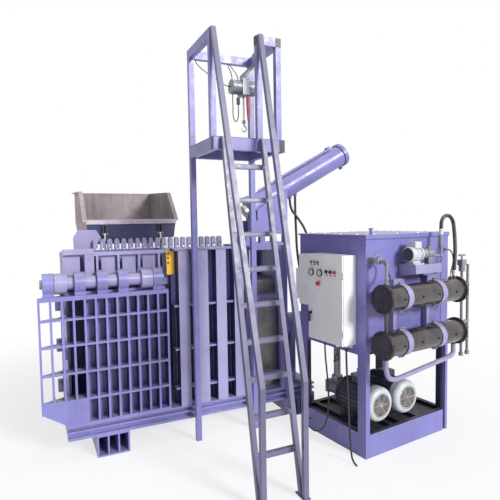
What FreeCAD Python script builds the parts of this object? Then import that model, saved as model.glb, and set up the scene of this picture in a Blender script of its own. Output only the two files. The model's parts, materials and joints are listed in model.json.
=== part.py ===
"""Recycling baler: a ribbed press with a hinged lid, a tipping hopper, a service tower with a
ladder and a hoist, and a hydraulic power pack with a control cabinet.

Millimetres, +Z up. The origin is on the floor under the middle of the press's front foot, with +X
towards the power pack and +Y away from the operator."""
import FreeCAD, Part
import os
from math import cos, degrees, pi, radians, sin, tan

V = FreeCAD.Vector
X_AXIS, Y_AXIS, Z_AXIS = V(1, 0, 0), V(0, 1, 0), V(0, 0, 1)

# ---------------------------------------------------------------- press: driving dimensions
PRESS_FRONT = -350.0        # plane of the rib edges facing the operator
PRESS_BACK = 350.0
FOOT_HEIGHT = 198.0
FOOT_LENGTH = 288.0
FOOT_CELLS = 3
FOOT_PLATE = 14.0
REAR_FOOT_X = 2000.0        # middle of the second foot, under the main cylinder
BASE_TOP = 330.0
BASE_LEFT = -385.0
BASE_RIGHT = 2144.0
BEAM_WEB = 20.0
BEAM_DEPTH = 110.0
BEAM_FLANGES = ((198.0, 220.0), (262.0, 280.0), (312.0, 330.0))   # bottom and top of each flange
FLOOR_PLATE = 16.0
CROSS_BEAM = 60.0

WALL_LEFT = -586.0          # outer face of the first rib
RIB_PITCH = 92.4
RIB_COLUMNS = 12
RIB_THICK = 18.0
RIB_DEPTH = 120.0
RIB_TIP = 30.0              # depth of the ribs at the free left edge
OVERHANG = 2                # columns that stand free of the chamber
WINDOWS = 2                 # columns beside them that open into the chamber
ROWS = (557.0, 800.0, 1045.0, 1275.0)      # heights of the bars' middles
RAIL_BOTTOM = 1440.0
RAIL_TOP = 1476.0
WALL_PLATE = 20.0
GUSSET_LEFT_Z = 473.0
CHAMBER_TOP = 1496.0
REAR_PLATE = 20.0
REAR_RIB_PITCH = 184.8
REAR_INNER = 250.0          # inner face of the rear wall
REAR_TOP = 1790.0
COMB_SEAT = 25.0            # thickness of the flange under the comb
SEAT_BACK = 425.0

PIN_RADIUS = 40.0
PIN_Y, PIN_Z = -270.0, 1583.0
PIN_HEAD = 22.0
KNUCKLE_RADIUS = 95.0
LID_KNUCKLE_RADIUS = 56.0
RUN_FIT = 0.05
KNUCKLE_WIDTH = 90.0
KNUCKLE_GAP = 4.0
KNUCKLES = (-496.0, -240.0, -50.0, 133.0, 447.0)           # middles of the fixed knuckles
LUG_THICK = 60.0
END_EYE = 100.0             # width of the lid's two large knuckles, beside the outer fixed ones

LID_LEFT, LID_RIGHT = -360.0, 590.0
LID_FRONT, LID_BACK = -170.0, 235.0
LID_BOTTOM, LID_TOP = 1502.0, 1840.0
LID_PLATE = 24.0
LID_WALL = 14.0
LID_LIP = 45.0              # how far the top flange stands out over the hinge
LID_FLANGE = 30.0
LID_RIB_FIRST, LID_RIB_PITCH = -74.5, 189.0
LID_RIB_EDGE = 18.0
LID_COLUMN = (-182.0, -102.0)              # the box column beside the first rib
LID_COLUMN_FOOT, LID_COLUMN_DEPTH = 1629.0, 60.0
LID_WINDOW = 38.0           # the gap between the left panel and the column
LID_SILL = 1612.0           # foot of the window and of the gaps beside the ribs
LID_EDGE_GAP = 14.0
LID_SLOT_SET, LID_SLOT_WIDTH = 12.0, 30.0
LID_SLOT_FOOT, LID_SLOT_TOP = 1674.0, 1785.0
LID_CAP_DROP, LID_CAP_RISE = 14.0, 32.0
STRIP_LEFT, STRIP_RIGHT = 556.0, 630.0
STRIP_FOOT, STRIP_THICK = 1600.0, 10.0
STRIP_CLEAR = 8.0           # between the marking bar and the ram body's plate behind it

COMB_LEFT, COMB_RIGHT = -62.0, 1404.0
TOOTH_PITCH = 70.0
TOOTH_WIDTH = 48.0
TOOTH_THICK = 50.0
TOOTH_HEIGHT = 130.0
TOOTH_HOLE, TOOTH_HOLE_DROP = 9.0, 73.0

DOOR_THICK = 25.0
DOOR_X = -355.0
DOOR_GAP = 6.0
DOOR_PIN = 14.0
DOOR_KNUCKLE = 28.0

# ---------------------------------------------------------------- ram body and cylinders
BODY_LEFT, BODY_RIGHT = 600.0, 1340.0
BODY_TOP = 1850.0
FLANGE_LIP = 10.0
COLUMN_WIDTH = 105.0
COLUMN_FIRST = 642.0
COLUMN_PITCH = 190.5
COLUMN_COUNT = 4
BODY_PLATE_Y = -230.0
BODY_BARS = (500.0, 880.0, 1300.0)
FRAME_RIGHT = 1785.0
FRAME_POST = 45.0
FRAME_BEAM_Z = (1290.0, 1345.0)
RAM_CLEAR = 5.0
RAM_TOP = 1480.0
RAM_LENGTH = 380.0
RAM_WALL = 25.0
RAM_FACE = 60.0
MAIN_AXIS_Z = 900.0
MAIN_BARREL = 150.0
MAIN_ROD = 75.0
MAIN_BACK = 2720.0
SIDE_AXIS_X, SIDE_AXIS_Z = 180.0, 800.0
SIDE_BARREL = 95.0
SIDE_ROD = 45.0
SIDE_BACK = 1010.0
SIDE_RAM_W, SIDE_RAM_H = 520.0, 700.0
ROD_CLEAR = 0.05

TAMPER_TILT = 27.9          # degrees above level
TAMPER_X, TAMPER_Z = 1560.0, 2236.0        # middle of the barrel's lower end
TAMPER_LENGTH = 1370.0
TAMPER_BARREL = 120.0
TAMPER_FLANGE = 140.0
TAMPER_ROD = 50.0
TAMPER_SHOE = 70.0
STAND_LEFT, STAND_RIGHT = 1490.0, 1945.0
STAND_HALF = 170.0
STAND_PLATE = 20.0
STAND_DECK = 1985.0

# ---------------------------------------------------------------- hopper
TRAY_LEFT, TRAY_RIGHT = -99.0, 846.0
TRAY_FRONT, TRAY_BACK = 400.0, 1590.0
TRAY_BOTTOM = 1940.0
TRAY_RIM, TRAY_SHOULDER_TOP, TRAY_TOP = 2130.0, 2447.0, 2484.0
TRAY_SHOULDER = 700.0       # where the sides' edge turns from steep to nearly level
TRAY_WALL = 12.0
TRAY_DRAFT = 27.0           # each side leans in by this much from the rim's height to the floor
TRAY_LIP = 30.0             # width of the flange along the top edges
TRAY_LIP_THICK = 10.0
RIM_HEIGHT, RIM_THICK = 38.0, 14.0
HINGE_Y, HINGE_Z = 378.0, 1985.0
HINGE_XS = (80.0, 661.0)
HINGE_PIN = 11.0
HINGE_BAR = 10.0
HINGE_SPACE = 22.0
HOPPER_LEG = 70.0

# ---------------------------------------------------------------- tower, ladder and hoist
TOWER_LEFT, TOWER_RIGHT = 757.0, 1415.0
TOWER_FRONT, TOWER_BACK = -995.0, -401.0
POST = 50.0
TUBE_WALL = 4.0
DECK_BOTTOM, DECK_TOP = 2690.0, 2790.0
DECK_PLATE = 6.0
TOWER_TOP = 3670.0
TOP_BEAM = 75.0
TIE_HEIGHT = 18.0           # the plates that tie the back posts to the press
MID_POST = 1182.0           # left face of the post beside the ladder's way up
LADDER_LEFT, LADDER_RIGHT = 816.0, 1212.0
LADDER_TUBE = 40.0
LADDER_FOOT_Y = -1650.0
RUNG_FIRST, RUNG_PITCH, RUNG_COUNT = 345.0, 275.0, 9
RAIL_KNEE = 905.0
FOOT_PAD = 8.0
PLUG = 3.0

HOIST_X, HOIST_Y, HOIST_Z = 1224.0, -600.0, 3335.0
HOIST_RADIUS = 72.0
HOIST_LENGTH = 235.0
GEAR_START, GEAR_END = 96.0, 160.0         # the gear case, from the motor's end of the hoist
HOIST_RING_PITCH = 13.0
CHAIN_X = HOIST_X - HOIST_LENGTH / 2.0 + (GEAR_START + GEAR_END) / 2.0
TROLLEY_HALF = 60.0
COLLAR = 8.0
SLIDE_FIT = 0.25
LINK_WIDTH, LINK_HEIGHT, LINK_PITCH, LINK_COUNT = 20.0, 34.0, 22.0, 12
BAG_BOTTOM = 3045.0
PENDANT_X, PENDANT_Z = 1180.0, 3180.0
PENDANT_CABLE = 9.0
SUPPLY_CABLE = 8.0
BIGHT_LOW = 3015.0

# ---------------------------------------------------------------- power pack (its own turned frame)
PACK_X, PACK_Y, PACK_TURN = 1967.0, -1450.0, 7.0
PACK_WIDTH, PACK_DEPTH = 1130.0, 900.0
SKID_RAIL = 210.0
SKID_THICK = 50.0
PACK_POST = 100.0
POST_FACE, POST_RECESS, RECESS_DEPTH = 34.0, 33.0, 40.0    # the right front post's flange and recess
TANK_BOTTOM, TANK_TOP = 955.0, 1955.0
TANK_WIDTH = 1100.0
TANK_SHEET = 8.0
COVER_LIP = 16.0
COVER_THICK = 14.0
COOLER_V = -172.0
COOLER_ZS = (1436.0, 1045.0)
COOLER_LEFT, COOLER_RIGHT = -8.0, 1030.0
COOLER_RADIUS = 104.0
COOLER_FLANGE = 124.0
COOLER_FLANGE_T = 16.0
CLAMP_US = (246.0, 696.0)
CLAMP_WIDTH = 60.0
CLAMP_THICK = 8.0
CLAMP_EAR = 26.0
BRACKET_US = (298.0, 750.0)
BRACKET_WIDTH, BRACKET_DEPTH = 40.0, 56.0
HEAD_LENGTH, HEAD_DEPTH = 135.0, 62.0
HEAD_BOTTOM, HEAD_TOP = 1515.0, 1572.0
MOTOR_US = (272.0, 626.0)
MOTOR_RADIUS = 160.0
MOTOR_Z = 402.0
MOTOR_FRONT, MOTOR_BACK = 70.0, 520.0
COWL_DEPTH = 95.0
COWL_WALL = 3.0
FAN_RADIUS = 138.0
FAN_BLADES = 7
SHAFT_RADIUS = 22.0
PUMP_RADIUS = 105.0
CIRC_Z, CIRC_V = 1786.0, -112.0
CIRC_RADIUS = 68.0
CIRC_LEFT, CIRC_RIGHT = 395.0, 540.0
COUPLING = 90.0
SHELF_LEFT, SHELF_RIGHT = 417.0, 767.0
SHELF_Z, SHELF_APRON = 1695.0, 78.0
RETURN_PIPE = 42.0
NOZZLE_REACH = 124.0        # from a cooler's middle to the end of its nozzles
NOZZLE_LEFT, NOZZLE_HOSE, NOZZLE_THIN = 62.0, 970.0, 920.0
PIPE_LEFT, PIPE_RIGHT = 58.0, 968.0
LINK_PIPE_U = 60.0
PUMP_HOSE_U, PUMP_HOSE_Z = 855.0, 1947.0
PUMP_SLEEVE = 126.0
THIN_U, THIN_Z = 1060.0, 1800.0
ELBOW_U, ELBOW_V, ELBOW_Z = 62.0, -80.0, 1745.0
COOLER_HOSE, THIN_HOSE, LEFT_HOSE = 34.0, 12.0, 18.0
RISER_US, RISER_TOPS, RISER_LOW = (1395.0, 1495.0), (1560.0, 1626.0), 690.0
ARM_LEVELS = (1030.0, 1410.0)
HOSE_TANK_US, HOSE_TANK_Z = (170.0, 290.0), 1330.0
PORT_XS = (2131.0, 2062.0)
PORT_REACH = 26.0
STAND_HOSE = 27.0
HOSE_BEND, HOSE_CROWN = 80.0, 2125.0       # radius and height of the big hose's crown
GRILLE_RINGS, GRILLE_PITCH = 5, 16.0

CAB_FRONT, CAB_BACK = 120.0, 575.0         # across the pack's depth
CAB_BOTTOM, CAB_TOP = 1000.0, 1790.0
CAB_DEPTH = 145.0
CAB_SHEET = 5.0
DOOR_SHEET = 16.0
SIDE_BOX_BACK, SIDE_BOX_BOTTOM = 770.0, 1290.0
SIDE_BOX_DEPTH = 110.0
PANEL_VS = (835.0, 895.0)
DOOR_AXIS_U, DOOR_AXIS_V = -156.0, 109.0
GLANDS = ((-80.0, 440.0), (-62.0, 176.0), (-112.0, 232.0), (-52.0, 300.0))
BUTTON_VS = (318.0, 264.0, 211.0)
BUTTON_Z = 1640.0
BUTTON_RADIUS = 15.0
BUTTON_TRAVEL = 6.0
METER_VS, METER_Z = (528.0, 410.0), 1622.0
METER_RADIUS = 34.0
LAMP_VS, LAMP_Z = (529.0, 483.0, 437.0), 1715.0
ESTOP_V, ESTOP_Z = 420.0, 1525.0
HANDLE_V, HANDLE_Z = 536.0, 1242.0


# ---------------------------------------------------------------- helpers
def box(x0, x1, y0, y1, z0, z1):
    """An upright block between two corners."""
    return Part.makeBox(x1 - x0, y1 - y0, z1 - z0, V(x0, y0, z0))


def disc(centre, axis, radius, length):
    """A round bar that starts at a point and runs along an axis."""
    return Part.makeCylinder(radius, length, centre, axis)


def prism_xz(points, y0, y1):
    """An outline in X and Z, drawn out along Y."""
    ring = [V(x, y0, z) for x, z in points]
    return Part.Face(Part.makePolygon(ring + ring[:1])).extrude(V(0, y1 - y0, 0))


def prism_yz(points, x0, x1):
    """An outline in Y and Z, drawn out along X."""
    ring = [V(x0, y, z) for y, z in points]
    return Part.Face(Part.makePolygon(ring + ring[:1])).extrude(V(x1 - x0, 0, 0))


def prism_xy(points, z0, z1):
    """An outline in X and Y, drawn out along Z."""
    ring = [V(x, y, z0) for x, y in points]
    return Part.Face(Part.makePolygon(ring + ring[:1])).extrude(V(0, 0, z1 - z0))


def join(shapes):
    """One body out of pieces that touch or cross."""
    shapes = list(shapes)
    return shapes[0].multiFuse(shapes[1:]).removeSplitter() if len(shapes) > 1 else shapes[0]


def group(shapes):
    """Separate solids kept together under one name."""
    return Part.makeCompound([solid for shape in shapes for solid in shape.Solids])


def ring(centre, axis, outer, inner, length):
    """A straight round sleeve."""
    return disc(centre, axis, outer, length).cut(disc(centre, axis, inner, length))


def bar(start, end, width, height):
    """A rectangular bar between two points, its width along X."""
    run = end - start
    across = run.cross(X_AXIS).normalize() * (height / 2.0)
    side = V(width / 2.0, 0, 0)
    ring_points = [start - across - side, start + across - side, start + across + side, start - across + side]
    return Part.Face(Part.makePolygon(ring_points + ring_points[:1])).extrude(run)


def route_wire(points):
    """Straight runs joined by tangent arcs, each as large as its two runs allow."""
    edges, radii, start = [], [], points[0]
    for before, here, after in zip(points, points[1:], points[2:]):
        back, ahead = before - here, after - here
        turn = pi - back.getAngle(ahead)
        cut = 0.45 * min(back.Length, ahead.Length)
        radius = cut / tan(turn / 2.0)
        enter = here + back.normalize() * cut
        leave = here + ahead.normalize() * cut
        middle_way = (back + ahead).normalize()
        bulge = radius / cos(turn / 2.0) - radius
        edges.append(Part.LineSegment(start, enter).toShape())
        edges.append(Part.Arc(enter, here + middle_way * bulge, leave).toShape())
        radii.append(radius)
        start = leave
    edges.append(Part.LineSegment(start, points[-1]).toShape())
    return Part.Wire(edges), radii


def route_tube(label, points, diameter):
    """A hose, cable or pipe along a route, with its radii and volume printed."""
    wire, radii = route_wire(points)
    first = (points[1] - points[0]).normalize()
    profile = Part.Wire(Part.Circle(points[0], first, diameter / 2.0).toShape())
    tube = wire.makePipeShell([profile], True, False)
    expected = pi * diameter ** 2 / 4.0 * wire.Length
    print(label, "length", round(wire.Length), "radii", [round(r) for r in radii],
          "volume ratio", round(tube.Volume / expected, 4))
    return tube


def pack_point(u, v, z):
    """A point of the power pack's own frame, in the part's frame."""
    turn = radians(PACK_TURN)
    return V(PACK_X + u * cos(turn) - v * sin(turn), PACK_Y + u * sin(turn) + v * cos(turn), z)


def in_pack(shape):
    """A shape drawn in the power pack's own frame, put in its place."""
    placed = shape.copy()
    placed.rotate(V(0, 0, 0), Z_AXIS, PACK_TURN)
    placed.translate(V(PACK_X, PACK_Y, 0))
    return placed


def rib_x(index):
    """The middle of a rib of the side wall."""
    return WALL_LEFT + RIB_THICK / 2.0 + index * RIB_PITCH


# ---------------------------------------------------------------- press
def press_foot(middle):
    """A welded foot with open cells towards the operator."""
    left, right = middle - FOOT_LENGTH / 2.0, middle + FOOT_LENGTH / 2.0
    foot = box(left, right, PRESS_FRONT, PRESS_BACK, 0, FOOT_HEIGHT)
    cell = (FOOT_LENGTH - (FOOT_CELLS + 1) * FOOT_PLATE) / FOOT_CELLS
    for index in range(FOOT_CELLS):
        start = left + FOOT_PLATE + index * (cell + FOOT_PLATE)
        foot = foot.cut(box(start, start + cell, PRESS_FRONT, -FOOT_PLATE / 2.0,
                            FOOT_PLATE, FOOT_HEIGHT - FOOT_PLATE))
        foot = foot.cut(box(start, start + cell, FOOT_PLATE / 2.0, PRESS_BACK,
                            FOOT_PLATE, FOOT_HEIGHT - FOOT_PLATE))
    edges = [e for e in foot.Edges
             if abs(e.BoundBox.ZMax) < 0.1 and e.BoundBox.YLength > PRESS_BACK and e.BoundBox.XMin > right - 1]
    return foot.makeFillet(FOOT_PLATE * 0.7, edges)


def press_feet():
    """The two feet of the press."""
    return group([press_foot(0.0), press_foot(REAR_FOOT_X)])


def base_frame():
    """Two flanged side beams, the cross beams between them and the floor plate."""
    pieces = []
    for front, back in ((PRESS_FRONT, PRESS_FRONT + BEAM_DEPTH), (PRESS_BACK - BEAM_DEPTH, PRESS_BACK)):
        middle = (front + back) / 2.0
        pieces.append(box(BASE_LEFT, BASE_RIGHT, middle - BEAM_WEB / 2.0, middle + BEAM_WEB / 2.0,
                          FOOT_HEIGHT, BASE_TOP))
        pieces += [box(BASE_LEFT, BASE_RIGHT, front, back, z0, z1) for z0, z1 in BEAM_FLANGES]
    for x in (BASE_LEFT, -CROSS_BEAM / 2.0, BODY_LEFT, BODY_RIGHT, BASE_RIGHT - CROSS_BEAM):
        pieces.append(box(x, x + CROSS_BEAM, PRESS_FRONT + BEAM_DEPTH / 2.0, PRESS_BACK - BEAM_DEPTH / 2.0,
                          FOOT_HEIGHT, BASE_TOP))
    pieces.append(box(BASE_LEFT, FRAME_RIGHT, PRESS_FRONT + BEAM_DEPTH / 2.0, PRESS_BACK - BEAM_DEPTH / 2.0,
                      BASE_TOP - FLOOR_PLATE, BASE_TOP))
    return join(pieces)


def rib_depth(index):
    """How deep a rib of the side wall is: the free ribs taper to the left edge."""
    share = min(1.0, index / float(OVERHANG))
    return RIB_TIP + (RIB_DEPTH - RIB_TIP) * share


def side_wall():
    """The waffle-ribbed front wall: upright ribs, bars that taper over the overhang, plate and rail."""
    last = rib_x(RIB_COLUMNS) + RIB_THICK / 2.0
    full = rib_x(OVERHANG)
    deep = PRESS_FRONT + RIB_DEPTH
    pieces = []
    for index in range(RIB_COLUMNS + 1):
        x = rib_x(index)
        bottom = BASE_TOP if index >= OVERHANG + 1 else ROWS[0] - RIB_PITCH
        pieces.append(box(x - RIB_THICK / 2.0, x + RIB_THICK / 2.0, PRESS_FRONT,
                          PRESS_FRONT + rib_depth(index), bottom, RAIL_BOTTOM))
    outline = [(WALL_LEFT, PRESS_FRONT), (last, PRESS_FRONT), (last, deep), (full, deep),
               (WALL_LEFT, PRESS_FRONT + RIB_TIP)]
    for z in ROWS:
        pieces.append(prism_xy(outline, z - RIB_THICK / 2.0, z + RIB_THICK / 2.0))
    pieces.append(box(full, last, PRESS_FRONT, deep, BASE_TOP, BASE_TOP + RIB_THICK))
    pieces.append(prism_xy(outline, RAIL_BOTTOM, RAIL_TOP))
    closed = rib_x(OVERHANG + WINDOWS)
    pieces.append(box(closed, last, deep, deep + WALL_PLATE, BASE_TOP, CHAMBER_TOP))
    pieces.append(box(full, closed, deep, deep + WALL_PLATE, BASE_TOP, ROWS[0]))
    pieces.append(box(full, closed, deep, deep + WALL_PLATE, RAIL_BOTTOM - WALL_PLATE, CHAMBER_TOP))
    pieces.append(box(full - RIB_THICK / 2.0, full + RIB_THICK / 2.0, deep, deep + WALL_PLATE,
                      BASE_TOP, CHAMBER_TOP))
    gusset = [(WALL_LEFT, ROWS[0]), (closed, ROWS[0]), (closed, BASE_TOP), (BASE_LEFT + RIB_THICK, BASE_TOP),
              (WALL_LEFT, GUSSET_LEFT_Z)]
    pieces.append(prism_xz(gusset, PRESS_FRONT, PRESS_FRONT + RIB_THICK * 0.7))
    return join(pieces)


def rear_wall():
    """The rear wall of the chamber and the ram body, ribbed outside, with the comb's seat on top."""
    pieces = [box(LID_LEFT, COMB_RIGHT, REAR_INNER, REAR_INNER + REAR_PLATE, BASE_TOP, REAR_TOP)]
    x = LID_LEFT
    while x < COMB_RIGHT:
        pieces.append(box(x, x + RIB_THICK, REAR_INNER + REAR_PLATE, PRESS_BACK, BASE_TOP, REAR_TOP))
        x += REAR_RIB_PITCH
    for z in ROWS:
        pieces.append(box(LID_LEFT, COMB_RIGHT, REAR_INNER + REAR_PLATE, PRESS_BACK,
                          z - RIB_THICK / 2.0, z + RIB_THICK / 2.0))
    pieces.append(box(LID_LEFT, COMB_RIGHT, REAR_INNER, SEAT_BACK, REAR_TOP, REAR_TOP + COMB_SEAT))
    port = disc(V(SIDE_AXIS_X, REAR_INNER, SIDE_AXIS_Z), Y_AXIS, SIDE_ROD + 30.0, PRESS_BACK - REAR_INNER)
    return join([join(pieces).cut(port)] + door_hinges().Solids)


def hinge_pin():
    """The long lid pin with its head."""
    left = KNUCKLES[0] - KNUCKLE_WIDTH / 2.0
    right = KNUCKLES[-1] + KNUCKLE_WIDTH / 2.0
    pin = disc(V(left - PIN_HEAD, PIN_Y, PIN_Z), X_AXIS, PIN_RADIUS, right - left + 2 * PIN_HEAD)
    return pin.makeChamfer(3.0, [e for e in pin.Edges if e.BoundBox.XLength < 0.01])


def fixed_knuckles():
    """The knuckles that stand on the side wall's rail, each on its lug."""
    knuckles = []
    for middle in KNUCKLES:
        start = middle - KNUCKLE_WIDTH / 2.0
        eye = disc(V(start, PIN_Y, PIN_Z), X_AXIS, KNUCKLE_RADIUS, KNUCKLE_WIDTH)
        lug = box(start, start + KNUCKLE_WIDTH, PIN_Y - LUG_THICK, PIN_Y + KNUCKLE_RADIUS * 0.35,
                  RAIL_TOP, PIN_Z)
        bore = disc(V(start, PIN_Y, PIN_Z), X_AXIS, PIN_RADIUS, KNUCKLE_WIDTH)
        knuckles.append(eye.fuse(lug).cut(bore).removeSplitter())
    return group(knuckles)


def lid_knuckle_spans():
    """Where the lid's own knuckles lie along the pin, between the fixed ones."""
    spans = []
    for left, right in zip(KNUCKLES, KNUCKLES[1:]):
        spans.append((left + KNUCKLE_WIDTH / 2.0 + KNUCKLE_GAP, right - KNUCKLE_WIDTH / 2.0 - KNUCKLE_GAP))
    return spans


def lid_rib_xs():
    """The middles of the lid's cross ribs, from the one beside the box column to the right."""
    ribs = []
    x = LID_RIB_FIRST
    while x < LID_RIGHT - LID_RIB_EDGE:
        ribs.append(x)
        x += LID_RIB_PITCH
    return ribs


def lid_front(top):
    """The lid's front sheet: a window beside the column, and a gap and a slot beside each rib."""
    y0, y1 = LID_FRONT, LID_FRONT + LID_WALL
    column = LID_COLUMN[0]
    openings = [box(column - LID_WINDOW, column, y0, y1, LID_SILL, top)]
    for rib in lid_rib_xs():
        slot, edge = rib + LID_SLOT_SET, rib - LID_RIB_EDGE / 2.0
        openings.append(box(slot, slot + LID_SLOT_WIDTH, y0, y1, LID_SLOT_FOOT, LID_SLOT_TOP))
        openings.append(box(edge - LID_EDGE_GAP, edge, y0, y1, LID_SILL, top))
    return box(LID_LEFT, LID_RIGHT, y0, y1, LID_BOTTOM, top).cut(group(openings))


def lid():
    """The ribbed press lid: pressing plate, cross ribs, slotted front, top flange, cap, knuckles."""
    low, high = LID_BOTTOM, LID_TOP - LID_FLANGE
    lip, half = LID_FRONT - LID_LIP, LID_RIB_EDGE / 2.0
    middle = (LID_FRONT + LID_BACK) / 2.0
    pieces = [lid_front(high), box(LID_LEFT, LID_RIGHT, LID_FRONT, LID_BACK, low, low + LID_PLATE)]
    for y0 in (middle - LID_WALL / 2.0, LID_BACK - LID_WALL):
        pieces.append(box(LID_LEFT, LID_RIGHT, y0, y0 + LID_WALL, low, high))
    for x0 in (LID_LEFT, LID_RIGHT - LID_WALL):
        pieces.append(box(x0, x0 + LID_WALL, LID_FRONT, LID_BACK, low, high))
    gusset_foot = PIN_Z + KNUCKLE_RADIUS + KNUCKLE_GAP
    for x in lid_rib_xs():
        pieces.append(box(x - half, x + half, LID_FRONT, LID_BACK, low, high))
    for x in lid_rib_xs() + [LID_RIGHT - half]:
        pieces.append(box(x - half, x + half, lip, LID_FRONT, gusset_foot, high))
    left, right = LID_COLUMN
    cap_foot = LID_TOP - LID_CAP_DROP
    back = LID_FRONT + LID_COLUMN_DEPTH
    pieces.append(box(left, right, lip, back, LID_COLUMN_FOOT, cap_foot))
    pieces.append(box(LID_LEFT, right, lip, back, cap_foot, LID_TOP + LID_CAP_RISE))
    flange = box(LID_LEFT, LID_RIGHT, lip, LID_BACK, high, LID_TOP)
    flange = flange.cut(box(LID_LEFT + LID_WALL, LID_RIGHT - LID_WALL, LID_FRONT + LID_WALL,
                            LID_BACK - LID_WALL, high, LID_TOP))
    pieces.append(flange.cut(box(LID_LEFT, right, lip, LID_FRONT, high, cap_foot)))
    spans = lid_knuckle_spans()
    for start, stop in spans:
        pieces.append(disc(V(start, PIN_Y, PIN_Z), X_AXIS, LID_KNUCKLE_RADIUS, stop - start))
        pieces.append(box(max(start, LID_LEFT), stop, PIN_Y, LID_FRONT, PIN_Z - LID_KNUCKLE_RADIUS / 2.0,
                          PIN_Z + LID_KNUCKLE_RADIUS))
    for start in (spans[0][0], spans[-1][1] - END_EYE):
        pieces.append(disc(V(start, PIN_Y, PIN_Z), X_AXIS, KNUCKLE_RADIUS - KNUCKLE_GAP, END_EYE))
    bore = disc(V(KNUCKLES[0], PIN_Y, PIN_Z), X_AXIS, PIN_RADIUS + RUN_FIT, KNUCKLES[-1] - KNUCKLES[0])
    return join(pieces).cut(bore)


def lid_strip():
    """The yellow marking bar at the lid's end, on a packer that carries it past the ram body's plate."""
    seat = LID_FRONT - LID_LIP
    back = BODY_PLATE_Y - STRIP_CLEAR
    top = BODY_TOP - RIB_THICK - STRIP_CLEAR
    return join([box(STRIP_LEFT, STRIP_RIGHT, back - STRIP_THICK, back, STRIP_FOOT, top),
                 box(STRIP_LEFT, LID_RIGHT, back, seat, PIN_Z + KNUCKLE_RADIUS + KNUCKLE_GAP, top)])


def shear_comb():
    """The row of round-topped shear teeth on the rear wall, and the plate at its left end."""
    seat = REAR_TOP + COMB_SEAT
    front = REAR_INNER + 8.0
    radius = TOOTH_WIDTH / 2.0
    teeth = [box(COMB_LEFT, COMB_RIGHT, front, front + TOOTH_THICK, seat, seat + 12.0)]
    count = int((COMB_RIGHT - COMB_LEFT) // TOOTH_PITCH)
    for index in range(count):
        x = COMB_LEFT + TOOTH_PITCH * (index + 0.5)
        crown = seat + TOOTH_HEIGHT - radius
        tooth = box(x - radius, x + radius, front, front + TOOTH_THICK, seat, crown)
        tooth = tooth.fuse(disc(V(x, front, crown), Y_AXIS, radius, TOOTH_THICK))
        hole = seat + TOOTH_HEIGHT - TOOTH_HOLE_DROP
        teeth.append(tooth.cut(disc(V(x, front, hole), Y_AXIS, TOOTH_HOLE, TOOTH_THICK)))
    comb = join(teeth)
    plate_y = front + TOOTH_THICK + 3.0
    plate = prism_xz([(-227, seat), (-232, 1963), (-185, 2039), (-10, 2036), (37, 1955), (-67, seat)],
                     plate_y, plate_y + 16.0)
    return group([comb, plate])


DOOR_PIN_X, DOOR_PIN_Y = DOOR_X - 42.0, REAR_INNER + 40.0
DOOR_FOOT, DOOR_TOP = BASE_TOP + DOOR_GAP, CHAMBER_TOP - DOOR_GAP


def door_levels():
    """The heights of the door's three hinges and cross bars."""
    return [DOOR_FOOT + (DOOR_TOP - DOOR_FOOT) * share for share in (0.15, 0.5, 0.85)]


def door():
    """The bale door at the left end: leaf, cross bars and moving hinge knuckles."""
    front, back = PRESS_FRONT + RIB_DEPTH + WALL_PLATE + DOOR_GAP, REAR_INNER - DOOR_GAP
    pieces = [box(DOOR_X, DOOR_X + DOOR_THICK, front, back, DOOR_FOOT, DOOR_TOP)]
    for z in door_levels():
        pieces.append(box(DOOR_X - 25.0, DOOR_X, front + 10.0, back - 10.0, z - 30.0, z + 30.0))
        pieces.append(box(DOOR_PIN_X - 5.0, DOOR_X, back - 60.0, back, z - 30.0, z + 30.0))
        pieces.append(box(DOOR_PIN_X - 5.0, LID_LEFT - 4.0, back, DOOR_PIN_Y, z - 30.0, z + 30.0))
        pieces.append(disc(V(DOOR_PIN_X, DOOR_PIN_Y, z - 30.0), Z_AXIS, DOOR_KNUCKLE, 60.0))
    bore = disc(V(DOOR_PIN_X, DOOR_PIN_Y, DOOR_FOOT), Z_AXIS, DOOR_PIN + RUN_FIT, DOOR_TOP - DOOR_FOOT)
    return join(pieces).cut(bore)


def door_hinges():
    """Fixed hinge lugs and pins of the bale door, on the rear wall's end."""
    hinges = []
    for z in door_levels():
        pin = disc(V(DOOR_PIN_X, DOOR_PIN_Y, z - 62.0), Z_AXIS, DOOR_PIN, 124.0)
        lugs = [pin]
        for low in (z - 62.0, z + 32.0):
            lugs.append(disc(V(DOOR_PIN_X, DOOR_PIN_Y, low), Z_AXIS, DOOR_KNUCKLE, 30.0))
            lugs.append(box(DOOR_PIN_X, LID_LEFT, DOOR_PIN_Y - 15.0, DOOR_PIN_Y + 15.0, low, low + 30.0))
        hinges.append(join(lugs))
    return group(hinges)


# ---------------------------------------------------------------- ram body and cylinders
def ram_body():
    """The ribbed front of the ram body: plate, box columns, bars and top flange."""
    plate_back = BODY_PLATE_Y + WALL_PLATE
    pieces = [box(BODY_LEFT, BODY_RIGHT, BODY_PLATE_Y, plate_back, BASE_TOP, BODY_TOP)]
    for index in range(COLUMN_COUNT):
        x = COLUMN_FIRST + index * COLUMN_PITCH
        pieces.append(box(x, x + COLUMN_WIDTH, PRESS_FRONT, BODY_PLATE_Y, BASE_TOP, BODY_TOP - RIB_THICK))
    for z in BODY_BARS:
        pieces.append(box(BODY_LEFT, BODY_RIGHT, PRESS_FRONT + 20.0, BODY_PLATE_Y,
                          z - RIB_THICK / 2.0, z + RIB_THICK / 2.0))
    pieces.append(box(BODY_LEFT, BODY_RIGHT, PRESS_FRONT - FLANGE_LIP, plate_back,
                      BODY_TOP - RIB_THICK, BODY_TOP))
    return join(pieces)


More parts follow.
